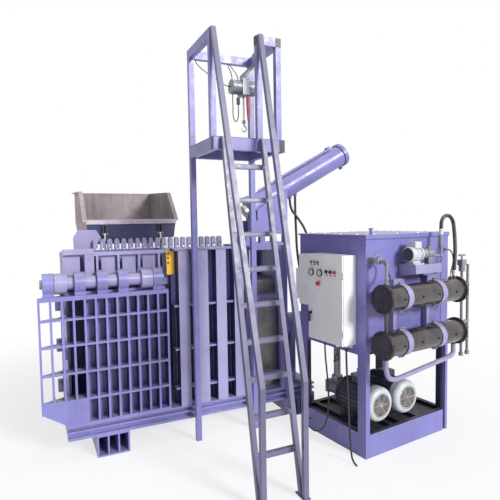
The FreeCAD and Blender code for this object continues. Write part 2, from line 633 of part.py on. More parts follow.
def guide_frame():
    """The open frame round the drawn-back main ram, and the wall that carries its cylinder."""
    right = FRAME_RIGHT
    pieces = []
    for left, y0 in ((BODY_RIGHT, PRESS_FRONT), (COMB_RIGHT, REAR_INNER)):
        y1 = y0 + FRAME_POST
        pieces.append(box(right - FRAME_POST, right, y0, y1, BASE_TOP, BODY_TOP))
        pieces.append(box(left, left + FRAME_POST, y0, y1, BASE_TOP, BODY_TOP))
        pieces.append(box(left, right, y0, y1, FRAME_BEAM_Z[0], FRAME_BEAM_Z[1]))
        pieces.append(box(left, right, y0, y1, BODY_TOP - FRAME_POST, BODY_TOP))
        pieces.append(box(left, right, y0, y1, BODY_BARS[0] - 25.0, BODY_BARS[0] + 25.0))
    pieces.append(box(BODY_RIGHT, right, PRESS_FRONT, REAR_INNER, BODY_TOP - RIB_THICK, BODY_TOP))
    pieces.append(box(COMB_RIGHT, right, REAR_INNER, REAR_INNER + FRAME_POST, BODY_TOP - RIB_THICK, BODY_TOP))
    pieces.append(box(right, right + 2 * RIB_THICK, PRESS_FRONT, REAR_INNER + FRAME_POST, BASE_TOP, BODY_TOP))
    frame = join(pieces)
    return frame.cut(disc(V(right, 0, MAIN_AXIS_Z), X_AXIS, MAIN_ROD + 25.0, 2 * RIB_THICK))


def ram_span():
    """The front and back faces of the main ram, across the press."""
    return BODY_PLATE_Y + WALL_PLATE + RAM_CLEAR, REAR_INNER - RAM_CLEAR


def main_ram():
    """The main ram at the back of its stroke: a box open behind, with its rod."""
    front, back = ram_span()
    left = BODY_RIGHT + FRAME_POST
    right = left + RAM_LENGTH
    bottom = BASE_TOP + 1.0
    head = box(left, right, front, back, bottom, RAM_TOP)
    head = head.cut(box(left + RAM_FACE, right, front + RAM_WALL, back - RAM_WALL,
                        bottom + RAM_WALL, RAM_TOP - RAM_WALL))
    web = box(left, right, -RAM_WALL / 2.0, RAM_WALL / 2.0, bottom, RAM_TOP)
    end = MAIN_BACK - 160.0
    rod = disc(V(left + RAM_FACE - 5.0, 0, MAIN_AXIS_Z), X_AXIS, MAIN_ROD, end - left - RAM_FACE + 5.0)
    boss = disc(V(left + RAM_FACE, 0, MAIN_AXIS_Z), X_AXIS, MAIN_ROD + 45.0, 60.0)
    return join([head, web, boss, rod])


def hydraulic_barrel(base, axis, length, radius, rod_radius, flange):
    """A cylinder barrel with a bore for its rod, a gland flange, tie ring, end cap and two ports."""
    tube = disc(base, axis, radius, length)
    front = disc(base, axis, flange, 34.0)
    rear_start = base + axis * (length - 46.0)
    rear = disc(rear_start, axis, radius + 14.0, 46.0)
    side = axis.cross(Y_AXIS) * -1.0 if abs(axis.dot(Y_AXIS)) < 0.5 else Z_AXIS
    ports = []
    for share in (0.06, 0.94):
        ports.append(disc(base + axis * (length * share), side, 26.0, radius + 30.0))
    body = join([tube, front, rear] + ports)
    gland = disc(base, axis, rod_radius + ROD_CLEAR, 34.0)
    bore = disc(base + axis * 34.0, axis, radius - 22.0, length - 34.0 - 30.0)
    return body.cut(gland.fuse(bore))


def main_cylinder():
    """The main cylinder's barrel behind the guide frame, with its rear cradle."""
    start = FRAME_RIGHT + 2 * RIB_THICK
    barrel = hydraulic_barrel(V(start, 0, MAIN_AXIS_Z), X_AXIS, MAIN_BACK - start, MAIN_BARREL, MAIN_ROD, 195.0)
    cradle_x = REAR_FOOT_X - 30.0
    cradle = box(cradle_x, cradle_x + 60.0, -150.0, 150.0, BASE_TOP, MAIN_AXIS_Z)
    cross = box(cradle_x, cradle_x + 60.0, PRESS_FRONT, PRESS_BACK, BASE_TOP, BASE_TOP + 40.0)
    bore = disc(V(cradle_x, 0, MAIN_AXIS_Z), X_AXIS, MAIN_BARREL, 60.0)
    return group([barrel, join([cradle, cross]).cut(bore)])


def side_ram():
    """The ejecting side ram, drawn back flush with the rear wall."""
    half = SIDE_RAM_W / 2.0
    plate = box(SIDE_AXIS_X - half, SIDE_AXIS_X + half, REAR_INNER - 40.0, REAR_INNER - 2.0,
                SIDE_AXIS_Z - SIDE_RAM_H / 2.0, SIDE_AXIS_Z + SIDE_RAM_H / 2.0)
    rod = disc(V(SIDE_AXIS_X, REAR_INNER - 10.0, SIDE_AXIS_Z), Y_AXIS, SIDE_ROD, SIDE_BACK - 120.0 - REAR_INNER)
    return join([plate, rod])


def side_cylinder():
    """The side ram's cylinder, bolted to the rear wall's ribs."""
    start = PRESS_BACK
    barrel = hydraulic_barrel(V(SIDE_AXIS_X, start, SIDE_AXIS_Z), Y_AXIS, SIDE_BACK - start,
                              SIDE_BARREL, SIDE_ROD, 140.0)
    return barrel


def tamper_axis():
    """The direction up along the inclined cylinder."""
    return V(cos(radians(TAMPER_TILT)), 0, sin(radians(TAMPER_TILT)))


def tamper_cylinder():
    """The inclined cylinder's barrel, with the two pressure pipes along its top."""
    axis = tamper_axis()
    base = V(TAMPER_X, 0, TAMPER_Z)
    up = V(-axis.z, 0, axis.x)
    barrel = hydraulic_barrel(base, axis, TAMPER_LENGTH, TAMPER_BARREL, TAMPER_ROD, TAMPER_FLANGE)
    pipes = []
    for side, start, end in ((-42.0, 0.12, 0.88), (-6.0, 0.30, 0.88)):
        offset = up * (TAMPER_BARREL + 12.0) + V(0, side, 0)
        pipes.append(disc(base + axis * (TAMPER_LENGTH * start) + offset, axis, 10.0,
                          TAMPER_LENGTH * (end - start)))
    for share in (0.32, 0.6, 0.85):
        foot = base + axis * (TAMPER_LENGTH * share)
        pipes.append(disc(foot + V(0, -24.0, 0), up, 14.0, TAMPER_BARREL + 14.0))
    block = disc(base + axis * (TAMPER_LENGTH * 0.88) + V(0, -24.0, 0), up, 34.0, TAMPER_BARREL + 40.0)
    for x in PORT_XS:
        middle = base.z + (x - base.x) * axis.z / axis.x
        low = middle - TAMPER_BARREL / axis.x - PORT_REACH
        pipes.append(disc(V(x, 0, low), Z_AXIS, 20.0, middle - low))
    solid_bore = disc(base, axis, TAMPER_BARREL - 22.0, TAMPER_LENGTH - 30.0)
    fittings = join(pipes + [block]).cut(solid_bore)
    return join([barrel, fittings])


def tamper_ram():
    """The rod of the inclined cylinder and the shoe that levels the scrap."""
    axis = tamper_axis()
    base = V(TAMPER_X, 0, TAMPER_Z)
    tip = base - axis * 40.0
    rod = disc(tip, axis, TAMPER_ROD, TAMPER_LENGTH - 160.0)
    shoe = disc(tip - axis * 40.0, axis, TAMPER_SHOE, 44.0)
    edge = [e for e in shoe.Edges if e.Curve.TypeId == "Part::GeomCircle"][:1]
    return join([rod, shoe.makeChamfer(8.0, edge)])


def cylinder_stand():
    """The stand of the inclined cylinder: two saddle plates, box columns, deck and gusset plate."""
    axis = tamper_axis()
    slope = axis.z / axis.x
    reach = TAMPER_BARREL / axis.x

    def under(x):
        """The height of the barrel's middle above a place along the stand."""
        return TAMPER_Z + (x - TAMPER_X) * slope

    outline = [(STAND_LEFT + 90.0, STAND_DECK), (STAND_RIGHT, STAND_DECK),
               (STAND_RIGHT, under(STAND_RIGHT)), (STAND_LEFT + 90.0, under(STAND_LEFT + 90.0) - reach * 0.2)]
    pieces = []
    for y in (-STAND_HALF + 20.0, STAND_HALF - 20.0 - STAND_PLATE):
        pieces.append(prism_xz(outline, y, y + STAND_PLATE))
    for x in (STAND_LEFT + 95.0, STAND_RIGHT - STAND_PLATE):
        pieces.append(box(x, x + STAND_PLATE, -STAND_HALF + 20.0, STAND_HALF - 20.0, STAND_DECK,
                          under(x) - reach * 0.3))
    for y0 in (-STAND_HALF, STAND_HALF - 60.0):
        pieces.append(box(STAND_LEFT, STAND_LEFT + 95.0, y0, y0 + 60.0, STAND_DECK, TAMPER_Z - 130.0))
    pieces.append(box(STAND_LEFT - 60.0, STAND_RIGHT, -STAND_HALF, STAND_HALF, STAND_DECK - 25.0, STAND_DECK))
    for x in (STAND_LEFT - 60.0, STAND_LEFT + 110.0, STAND_RIGHT - 60.0):
        right = min(x + 60.0, STAND_RIGHT)
        for y0 in (-STAND_HALF, STAND_HALF - 60.0):
            pieces.append(box(x, right, y0, y0 + 60.0, BODY_TOP, STAND_DECK - 25.0))
    pieces.append(box(STAND_LEFT - 60.0, STAND_RIGHT, -STAND_HALF, STAND_HALF, BODY_TOP, BODY_TOP + 18.0))
    stand = join(pieces)
    path = disc(V(TAMPER_X, 0, TAMPER_Z) - axis * 100.0, axis, TAMPER_BARREL, TAMPER_LENGTH)
    flange = disc(V(TAMPER_X, 0, TAMPER_Z) - axis * 100.0, axis, TAMPER_FLANGE, 134.0)
    port = disc(V(TAMPER_X, 0, TAMPER_Z) + axis * (TAMPER_LENGTH * 0.06), V(axis.z, 0, -axis.x), 28.0,
                TAMPER_BARREL + 60.0)
    return stand.cut(path.fuse(flange)).cut(port)


# ---------------------------------------------------------------- hopper
def tray_section(wall):
    """The tray's cross outline, drawn in by a wall: sides that lean in below the rim's height."""
    left, right = TRAY_LEFT + wall, TRAY_RIGHT - wall
    return [(left + TRAY_DRAFT, TRAY_BOTTOM + wall), (right - TRAY_DRAFT, TRAY_BOTTOM + wall),
            (right, TRAY_RIM), (right, TRAY_TOP), (left, TRAY_TOP), (left, TRAY_RIM)]


def hopper_tray():
    """The tipping tray: leaning lower sides, low front, high back, rim flanges and hinge bars."""
    edge = [(TRAY_FRONT, TRAY_RIM), (TRAY_SHOULDER, TRAY_SHOULDER_TOP), (TRAY_BACK, TRAY_TOP)]
    profile = [(TRAY_BACK, TRAY_BOTTOM), (TRAY_FRONT, TRAY_BOTTOM)] + edge
    outer = prism_yz(profile, TRAY_LEFT, TRAY_RIGHT).common(
        prism_xz(tray_section(0.0), TRAY_FRONT, TRAY_BACK))
    inner = prism_xz(tray_section(TRAY_WALL), TRAY_FRONT + TRAY_WALL, TRAY_BACK - TRAY_WALL)
    pieces = [outer.cut(inner)]
    pieces.append(box(TRAY_LEFT, TRAY_RIGHT, TRAY_FRONT - RIM_THICK, TRAY_FRONT,
                      TRAY_RIM - RIM_HEIGHT, TRAY_RIM))
    lip = edge + [(y, z - TRAY_LIP_THICK) for y, z in reversed(edge)]
    root = TRAY_WALL / 2.0
    for x0, x1 in ((TRAY_LEFT - TRAY_LIP, TRAY_LEFT + root), (TRAY_RIGHT - root, TRAY_RIGHT + TRAY_LIP)):
        pieces.append(prism_yz(lip, x0, x1))
    pieces.append(box(TRAY_LEFT - TRAY_LIP, TRAY_RIGHT + TRAY_LIP, TRAY_BACK - root, TRAY_BACK + TRAY_LIP,
                      TRAY_TOP - TRAY_LIP_THICK, TRAY_TOP))
    for middle in HINGE_XS:
        for side in (-1, 1):
            x = middle + side * (HINGE_SPACE / 2.0 + HINGE_BAR / 2.0) - HINGE_BAR / 2.0
            pieces.append(box(x, x + HINGE_BAR, HINGE_Y - 12.0, TRAY_FRONT, HINGE_Z, TRAY_RIM - RIM_HEIGHT))
            pieces.append(disc(V(x, HINGE_Y, HINGE_Z), X_AXIS, 24.0, HINGE_BAR))
    tray = join(pieces)
    for middle in HINGE_XS:
        bore = disc(V(middle - HINGE_SPACE, HINGE_Y, HINGE_Z), X_AXIS, HINGE_PIN + RUN_FIT, HINGE_SPACE * 2)
        tray = tray.cut(bore)
    return tray


def hopper_lugs():
    """The fixed lugs and pins that carry the tray, on the rear wall's seat."""
    seat = REAR_TOP + COMB_SEAT
    lugs = []
    for middle in HINGE_XS:
        half = HINGE_SPACE / 2.0 - 1.0
        lug = box(middle - half, middle + half, HINGE_Y - 18.0, HINGE_Y + 18.0, seat, HINGE_Z)
        lug = lug.fuse(disc(V(middle - half, HINGE_Y, HINGE_Z), X_AXIS, 18.0, 2 * half))
        reach = HINGE_SPACE / 2.0 + HINGE_BAR + 5.0
        pin = disc(V(middle - reach, HINGE_Y, HINGE_Z), X_AXIS, HINGE_PIN, 2 * reach)
        lugs.append(join([lug, pin]))
    return group(lugs)


def hopper_frame():
    """The trestle that the tray rests on, behind the press."""
    legs_x = (TRAY_LEFT + 40.0, TRAY_RIGHT - 40.0 - HOPPER_LEG)
    legs_y = (TRAY_SHOULDER + 100.0, TRAY_BACK - 90.0 - HOPPER_LEG)
    pieces = []
    for x in legs_x:
        for y in legs_y:
            pieces.append(box(x, x + HOPPER_LEG, y, y + HOPPER_LEG, 0, TRAY_BOTTOM))
        pieces.append(box(x, x + HOPPER_LEG, legs_y[0], legs_y[1] + HOPPER_LEG,
                          TRAY_BOTTOM - HOPPER_LEG, TRAY_BOTTOM))
        pieces.append(box(x, x + HOPPER_LEG, legs_y[0], legs_y[1] + HOPPER_LEG, 400.0, 400.0 + HOPPER_LEG))
    for y in legs_y:
        for z in (TRAY_BOTTOM - HOPPER_LEG, 400.0):
            pieces.append(box(legs_x[0], legs_x[1] + HOPPER_LEG, y, y + HOPPER_LEG, z, z + HOPPER_LEG))
    return join(pieces)


# ---------------------------------------------------------------- tower
def tower_bars(inset):
    """The tower's tubes as solid bars, drawn in by an inset on every long side."""
    left, right, front, back = TOWER_LEFT, TOWER_RIGHT, TOWER_FRONT, TOWER_BACK
    i = inset
    beam_low = TOWER_TOP - TOP_BEAM
    bars = []

    def upright(x, y, z0):
        """One post."""
        bars.append(box(x + i, x + POST - i, y + i, y + POST - i, z0, TOWER_TOP - i))

    upright(left, back - POST, 0)
    upright(right - POST, back - POST, 0)
    upright(left, front, DECK_BOTTOM + i)
    upright(MID_POST, front, DECK_BOTTOM + i)
    upright(right - POST, front, DECK_BOTTOM + i)
    for z0, z1, ahead in ((beam_low, TOWER_TOP, 0.0), (DECK_BOTTOM, DECK_TOP, POST)):
        bars.append(box(left + i, left + POST - i, front + i, back - i, z0 + i, z1 - i))
        bars.append(box(left + i, right - i, back - POST + i, back - i, z0 + i, z1 - i))
        bars.append(box(right - POST + i, right - i, front - ahead, back - i, z0 + i, z1 - i))
    bars.append(box(MID_POST, right - i, front + i, front + POST - i, beam_low + i, TOWER_TOP - i))
    bars.append(box(left, right - POST, front - POST + i, front - i, DECK_BOTTOM + i, DECK_TOP - i))
    return bars


def tower_frame():
    """Welded tube frame: posts, deck beams and top beams, hollow with open ends."""
    frame = join(tower_bars(0.0)).cut(join(tower_bars(TUBE_WALL)))
    low, high = BODY_TOP - TIE_HEIGHT, BODY_TOP
    ties = [box(TOWER_LEFT, TOWER_LEFT + POST, TOWER_BACK, PRESS_FRONT - FLANGE_LIP, low, high),
            box(TOWER_RIGHT - POST, TOWER_RIGHT, TOWER_BACK, PRESS_FRONT, low, high)]
    return join([frame] + ties)


def tube_plugs():
    """Black plugs in the open ends of the tower's tubes."""
    low, high = TOWER_TOP - TOP_BEAM, TOWER_TOP
    front = TOWER_FRONT
    plugs = [box(TOWER_LEFT - PLUG, TOWER_LEFT, front - POST, front, DECK_BOTTOM, DECK_TOP),
             box(TOWER_RIGHT - POST, TOWER_RIGHT, front - POST - PLUG, front - POST, DECK_BOTTOM, DECK_TOP),
             box(MID_POST - PLUG, MID_POST, front, front + POST, low, high),
             box(TOWER_RIGHT - POST, TOWER_RIGHT, front - PLUG, front, low, high)]
    return group(plugs)


def tower_deck():
    """The deck plate between the posts."""
    plate = box(TOWER_LEFT, TOWER_RIGHT, TOWER_FRONT - POST, TOWER_BACK, DECK_TOP, DECK_TOP + DECK_PLATE)
    for x in (TOWER_LEFT, MID_POST, TOWER_RIGHT - POST):
        plate = plate.cut(box(x, x + POST, TOWER_FRONT, TOWER_FRONT + POST, DECK_TOP, DECK_TOP + DECK_PLATE))
    for x in (TOWER_LEFT, TOWER_RIGHT - POST):
        plate = plate.cut(box(x, x + POST, TOWER_BACK - POST, TOWER_BACK, DECK_TOP, DECK_TOP + DECK_PLATE))
    return plate


def ladder_line():
    """The slope of the ladder and the plane of its top, in front of the deck beam."""
    top_y = TOWER_FRONT - POST - LADDER_TUBE / 2.0 - 1.0
    return top_y, (top_y - LADDER_FOOT_Y) / DECK_TOP


def ladder():
    """Two stringers and the rungs between them, leaning on the deck beam."""
    top_y, lean = ladder_line()
    half = LADDER_TUBE / 2.0
    pieces = []
    for x in (LADDER_LEFT + half, LADDER_RIGHT - half):
        low = V(x, LADDER_FOOT_Y - lean * 200.0, -200.0)
        high = V(x, top_y + lean * 200.0, DECK_TOP + 200.0)
        pieces.append(bar(low, high, LADDER_TUBE, LADDER_TUBE))
    for index in range(RUNG_COUNT):
        z = RUNG_FIRST + index * RUNG_PITCH
        y = LADDER_FOOT_Y + lean * z
        pieces.append(box(LADDER_LEFT + half, LADDER_RIGHT - half, y - half, y + half, z - half, z + half))
    body = join(pieces)
    keep = box(LADDER_LEFT - 50.0, LADDER_RIGHT + 50.0, LADDER_FOOT_Y - 300.0, TOWER_FRONT - POST,
               FOOT_PAD, DECK_TOP)
    return body.common(keep)


def handrails():
    """Two handrails: upright from the ladder's feet to the knee, then up to the tower's posts."""
    half = LADDER_TUBE / 2.0
    foot_y = LADDER_FOOT_Y - LADDER_TUBE - 14.0
    top_y = TOWER_FRONT - half
    rails = []
    for foot_x, top_x in ((LADDER_LEFT + half, TOWER_LEFT + POST / 2.0),
                          (LADDER_RIGHT - half, MID_POST + POST / 2.0)):
        knee = V(foot_x, foot_y, RAIL_KNEE)
        head = V(top_x, top_y, TOWER_TOP - half)
        over = (head - knee).normalize() * 60.0
        rail = join([box(foot_x - half, foot_x + half, foot_y - half, foot_y + half, FOOT_PAD, RAIL_KNEE),
                     bar(knee, head + over, LADDER_TUBE, LADDER_TUBE),
                     disc(V(foot_x - half, foot_y, RAIL_KNEE), X_AXIS, half, LADDER_TUBE)])
        rail = rail.common(box(top_x - 200.0, top_x + 200.0, foot_y - half, TOWER_FRONT, 0, TOWER_TOP))
        pad = box(foot_x - half - 10.0, foot_x + half + 10.0, foot_y - half - 10.0,
                  LADDER_FOOT_Y + half + 30.0, 0, FOOT_PAD)
        rails.append(join([rail, pad]))
    return group(rails)


# ---------------------------------------------------------------- hoist
def hoist_trolley():
    """The collar that slides on the tower's top beam, and the slanted hanger below it."""
    y0, y1 = HOIST_Y - TROLLEY_HALF, HOIST_Y + TROLLEY_HALF
    left, right = TOWER_RIGHT - POST - SLIDE_FIT, TOWER_RIGHT + SLIDE_FIT
    low, high = TOWER_TOP - TOP_BEAM - SLIDE_FIT, TOWER_TOP + SLIDE_FIT
    collar = box(left - COLLAR, right + COLLAR, y0, y1, low - COLLAR, high + COLLAR)
    collar = collar.cut(box(left, right, y0, y1, low, high))
    seat = HOIST_Z + HOIST_RADIUS - 2.0
    gear = HOIST_X - HOIST_LENGTH / 2.0 + GEAR_START
    plate = prism_xz([(gear + 2.0, seat), (gear + 60.0, seat), (left + 42.0, low - COLLAR),
                      (left - 6.0, low - COLLAR), (gear + 2.0, seat + 40.0)],
                     HOIST_Y - 14.0, HOIST_Y + 14.0)
    return join([collar, plate])


def hoist_body():
    """The hoist: motor with its fan cover, gear case with the chain's passage, and brake end."""
    left = HOIST_X - HOIST_LENGTH / 2.0
    pieces = [disc(V(left, HOIST_Y, HOIST_Z), X_AXIS, HOIST_RADIUS - 6.0, 34.0),
              disc(V(left + 34.0, HOIST_Y, HOIST_Z), X_AXIS, HOIST_RADIUS - 12.0, GEAR_START - 34.0),
              box(left + GEAR_START, left + GEAR_END, HOIST_Y - HOIST_RADIUS + 8.0, HOIST_Y + HOIST_RADIUS - 8.0,
                  HOIST_Z - HOIST_RADIUS, HOIST_Z + HOIST_RADIUS - 2.0),
              disc(V(left + GEAR_END, HOIST_Y, HOIST_Z), X_AXIS, HOIST_RADIUS - 4.0, HOIST_LENGTH - GEAR_END)]
    for index in range(5):
        x = left + 38.0 + index * HOIST_RING_PITCH
        pieces.append(disc(V(x, HOIST_Y, HOIST_Z), X_AXIS, HOIST_RADIUS - 7.0, 4.0))
    half = LINK_WIDTH / 2.0 + SLIDE_FIT
    passage = box(CHAIN_X - half, CHAIN_X + half, HOIST_Y - half, HOIST_Y + half,
                  HOIST_Z - HOIST_RADIUS, HOIST_Z + HOIST_RADIUS)
    return join(pieces).cut(passage)


def chain_bag():
    """The pink cloth bag that hangs beside the chain and takes up its slack."""
    x0 = CHAIN_X + 24.0
    top = HOIST_Z - HOIST_RADIUS
    outer = prism_xz([(x0, top), (x0 + 46.0, top), (x0 + 40.0, BAG_BOTTOM), (x0 + 12.0, BAG_BOTTOM)],
                     HOIST_Y - 20.0, HOIST_Y + 20.0)
    inner = prism_xz([(x0 + 3.0, top), (x0 + 43.0, top), (x0 + 37.0, BAG_BOTTOM + 6.0),
                      (x0 + 15.0, BAG_BOTTOM + 6.0)], HOIST_Y - 17.0, HOIST_Y + 17.0)
    return outer.cut(inner)


def hoist_hook():
    """The load chain, link through link, and the hook with its block."""
    bar_size = (LINK_HEIGHT - LINK_PITCH) / 2.0
    links = []
    top = HOIST_Z - HOIST_RADIUS + 1.5 * LINK_HEIGHT
    for index in range(LINK_COUNT):
        middle = top - LINK_HEIGHT / 2.0 - index * LINK_PITCH
        wide, thin = (LINK_WIDTH / 2.0, bar_size / 2.0) if index % 2 else (bar_size / 2.0, LINK_WIDTH / 2.0)
        link = box(CHAIN_X - wide, CHAIN_X + wide, HOIST_Y - thin, HOIST_Y + thin,
                   middle - LINK_HEIGHT / 2.0, middle + LINK_HEIGHT / 2.0)
        inner_x = wide - bar_size if index % 2 else wide
        inner_y = thin if index % 2 else thin - bar_size
        links.append(link.cut(box(CHAIN_X - inner_x, CHAIN_X + inner_x, HOIST_Y - inner_y, HOIST_Y + inner_y,
                                  middle - LINK_PITCH / 2.0, middle + LINK_PITCH / 2.0)))
    block_top = top - LINK_HEIGHT - (LINK_COUNT - 1) * LINK_PITCH + bar_size
    block = disc(V(CHAIN_X, HOIST_Y, block_top - 34.0), Z_AXIS, 17.0, 34.0)
    slot = box(CHAIN_X - LINK_WIDTH / 2.0 - 1.0, CHAIN_X + LINK_WIDTH / 2.0 + 1.0,
               HOIST_Y - LINK_WIDTH / 2.0 - 1.0, HOIST_Y + LINK_WIDTH / 2.0 + 1.0,
               block_top - bar_size, block_top)
    shank = disc(V(CHAIN_X, HOIST_Y, block_top - 60.0), Z_AXIS, 7.0, 30.0)
    curl = Part.makeTorus(24.0, 7.0, V(CHAIN_X, HOIST_Y, block_top - 84.0), V(0, -1, 0), -180, 180, 235)
    hook = block.cut(slot).fuse([shank, curl]).removeSplitter()
    return group(links + [hook])


def pendant():
    """The push-button switch that hangs from the hoist, and its strain wire."""
    x, y = PENDANT_X, HOIST_Y
    case = box(x - 14.0, x + 14.0, y - 14.0, y + 14.0, PENDANT_Z, PENDANT_Z + 62.0)
    case = case.makeFillet(5.0, [e for e in case.Edges if e.BoundBox.ZLength > 50])
    wire = disc(V(x, y, PENDANT_Z + 62.0), Z_AXIS, 2.5, HOIST_Z - HOIST_RADIUS + 12.0 - PENDANT_Z - 62.0)
    buttons = [disc(V(x, y - 14.0, PENDANT_Z + dz), V(0, -1, 0), 7.0, 3.0) for dz in (18.0, 42.0)]
    return join([case, wire] + buttons)


def pendant_cable():
    """The pendant's control cable: down from the hoist, round a slack bight and up into the switch."""
    x0, x1, y, low = HOIST_X - HOIST_LENGTH / 2.0 + 18.0, PENDANT_X, HOIST_Y, BIGHT_LOW
    points = [V(x0, y, HOIST_Z - HOIST_RADIUS + 6.0), V(x0, y, low + 210.0), V(x0 + 1.0, y, low + 150.0),
              V(x0 - 1.0, y, low + 90.0), V(x0 + 4.0, y, low + 34.0), V(x0 + 26.0, y, low),
              V(x1 - 4.0, y, low + 34.0), V(x1 + 1.0, y, low + 90.0), V(x1, y, PENDANT_Z - 40.0),
              V(x1, y, PENDANT_Z)]
    return route_tube("pendant cable", points, PENDANT_CABLE)


def supply_cable():
    """The hoist's supply: one strand from the back beam's corner and one bight tied to the beam."""
    beam = TOWER_TOP - TOP_BEAM
    y0 = TOWER_BACK - POST / 2.0
    x, y = HOIST_X - HOIST_LENGTH / 2.0, HOIST_Y
    left = TOWER_LEFT + POST + 25.0
    strand = [V(left, y0, beam), V(left, y0, beam - 32.0), V(left + 58.0, y0 - 35.0, beam - 95.0),
              V(left + 128.0, y0 - 85.0, beam - 165.0), V(left + 198.0, y0 - 145.0, beam - 230.0),
              V(x - 36.0, y, HOIST_Z), V(x, y, HOIST_Z)]
    top = HOIST_Z + HOIST_RADIUS - 6.0
    tie = beam - SUPPLY_CABLE / 2.0
    bight = [V(x + 14.0, y, top), V(x + 14.0, y, top + 40.0), V(x - 2.0, y + 34.0, top + 110.0),
             V(x + 10.0, y + 95.0, tie - 24.0), V(x + 44.0, y + 155.0, tie), V(x + 64.0, y + 140.0, tie - 26.0),
             V(x + 70.0, y + 60.0, tie - 100.0), V(x + 72.5, y, top + 30.0),
             V(x + 72.5, y, top - 6.0)]
    return group([route_tube("supply strand", strand, SUPPLY_CABLE),
                  route_tube("supply bight", bight, SUPPLY_CABLE)])


# ---------------------------------------------------------------- power pack
def pack_skid():
    """The pack's welded frame: channel rails, drip plate, four posts and the ring under the tank."""
    width, depth, rail, t = PACK_WIDTH, PACK_DEPTH, SKID_RAIL, 10.0
    pieces = []
    for v0, web in ((0.0, 0.0), (depth - SKID_THICK, depth - t)):
        pieces.append(box(0, width, web, web + t, 0, rail))
        pieces += [box(0, width, v0, v0 + SKID_THICK, z, z + t) for z in (0.0, rail - t)]
    for u0, web in ((0.0, 0.0), (width - SKID_THICK, width - t)):
        pieces.append(box(web, web + t, 0, depth, 0, rail))
        pieces += [box(u0, u0 + SKID_THICK, 0, depth, z, z + t) for z in (0.0, rail - t)]
    pieces.append(box(0, width, 0, depth, rail - 40.0, rail - 32.0))
    for u in (MOTOR_US[0], MOTOR_US[1]):
        for side in (-1, 1):
            middle = u + side * MOTOR_RADIUS * 0.72
            pieces.append(box(middle - 22.0, middle + 22.0, 0, depth, rail - 32.0, rail))
    for u0 in (0.0, width - SKID_THICK):
        for v0 in (0.0, depth - PACK_POST):
            pieces.append(box(u0, u0 + SKID_THICK, v0, v0 + PACK_POST, 0, TANK_BOTTOM))
    ring_low = TANK_BOTTOM - 45.0
    for v0 in (40.0, depth - SKID_THICK):
        pieces.append(box(0, width, v0, v0 + SKID_THICK, ring_low, TANK_BOTTOM))
    for u0 in (0.0, width - SKID_THICK):
        pieces.append(box(u0, u0 + SKID_THICK, 0, depth, ring_low, TANK_BOTTOM))
    recess = box(width - POST_FACE - POST_RECESS, width - POST_FACE, 0, RECESS_DEPTH, 0, ring_low)
    return in_pack(join(pieces).cut(recess))


def oil_tank():
    """The oil tank: a sheet box with a pressed edge at its right and a cleaning cover at its left."""
    outer = box(0, TANK_WIDTH, 0, PACK_DEPTH, TANK_BOTTOM, TANK_TOP)
    inner = box(TANK_SHEET, TANK_WIDTH - TANK_SHEET, TANK_SHEET, PACK_DEPTH - TANK_SHEET,
                TANK_BOTTOM + TANK_SHEET, TANK_TOP - TANK_SHEET)
    edge = box(TANK_WIDTH - 92.0, TANK_WIDTH + 12.0, -5.0, 0, TANK_BOTTOM, TANK_TOP)
    return in_pack(join([outer.cut(inner), edge]))


def tank_cover():
    """The tank's top plate, with its turned-down front lip and the filler neck."""
    u1 = TANK_WIDTH + COVER_LIP
    plate = box(-COVER_LIP, u1, -COVER_LIP, PACK_DEPTH + COVER_LIP, TANK_TOP, TANK_TOP + COVER_THICK)
    lip = box(-COVER_LIP, u1, -COVER_LIP, -COVER_LIP + 6.0, TANK_TOP - 24.0, TANK_TOP)
    neck = disc(V(92.0, 30.0, TANK_TOP + COVER_THICK), Z_AXIS, 13.0, 52.0)
    cap = disc(V(92.0, 30.0, TANK_TOP + COVER_THICK + 40.0), Z_AXIS, 20.0, 16.0)
    return in_pack(join([plate, lip, neck, cap]))


def cooler_nozzles():
    """Where the coolers' nozzles stand: along the cooler, which cooler, up or down, and reach."""
    top, low = COOLER_ZS
    return ((NOZZLE_LEFT, top, 1, NOZZLE_REACH), (NOZZLE_HOSE, top, 1, NOZZLE_REACH),
            (NOZZLE_THIN, top, 1, NOZZLE_REACH), (PIPE_LEFT, low, -1, NOZZLE_REACH),
            (PIPE_RIGHT, low, -1, NOZZLE_REACH))


def coolers():
    """Two oil coolers: long shells with end flanges and nozzles, joined by a short pipe."""
    shells = []
    for z in COOLER_ZS:
        pieces = [disc(V(COOLER_LEFT + 24.0, COOLER_V, z), X_AXIS, COOLER_RADIUS,
                       COOLER_RIGHT - COOLER_LEFT - 44.0)]
        for start in (COOLER_LEFT + 24.0, COOLER_RIGHT - 20.0 - COOLER_FLANGE_T):
            pieces.append(disc(V(start, COOLER_V, z), X_AXIS, COOLER_FLANGE, COOLER_FLANGE_T))
        for u, level, way, reach in cooler_nozzles():
            if level == z:
                pieces.append(disc(V(u, COOLER_V, z), V(0, 0, way), 22.0, reach))
        shells.append(join(pieces))
    top, low = COOLER_ZS
    link = disc(V(LINK_PIPE_U, COOLER_V, low), Z_AXIS, 17.0, top - low)
    return in_pack(join(shells + [link]))


def cooler_caps():
    """The cast end caps of the coolers, with ribs and a ring of bolt heads."""
    caps = []
    for z in COOLER_ZS:
        for start, way in ((COOLER_LEFT + 24.0, -1.0), (COOLER_RIGHT - 20.0, 1.0)):
            axis = V(way, 0, 0)
            pieces = [disc(V(start, COOLER_V, z), axis, COOLER_FLANGE - 4.0, 10.0),
                      disc(V(start, COOLER_V, z), axis, COOLER_RADIUS - 22.0, 20.0)]
            for index in range(8):
                angle = 2 * pi * (index + 0.5) / 8
                spot = V(start, COOLER_V + cos(angle) * (COOLER_FLANGE - 15.0),
                         z + sin(angle) * (COOLER_FLANGE - 15.0))
                pieces.append(Part.makeBox(16.0, 12.0, 12.0, spot + V(0 if way > 0 else -16.0, -6.0, -6.0)))
            caps.append(join(pieces))
    return in_pack(group(caps))


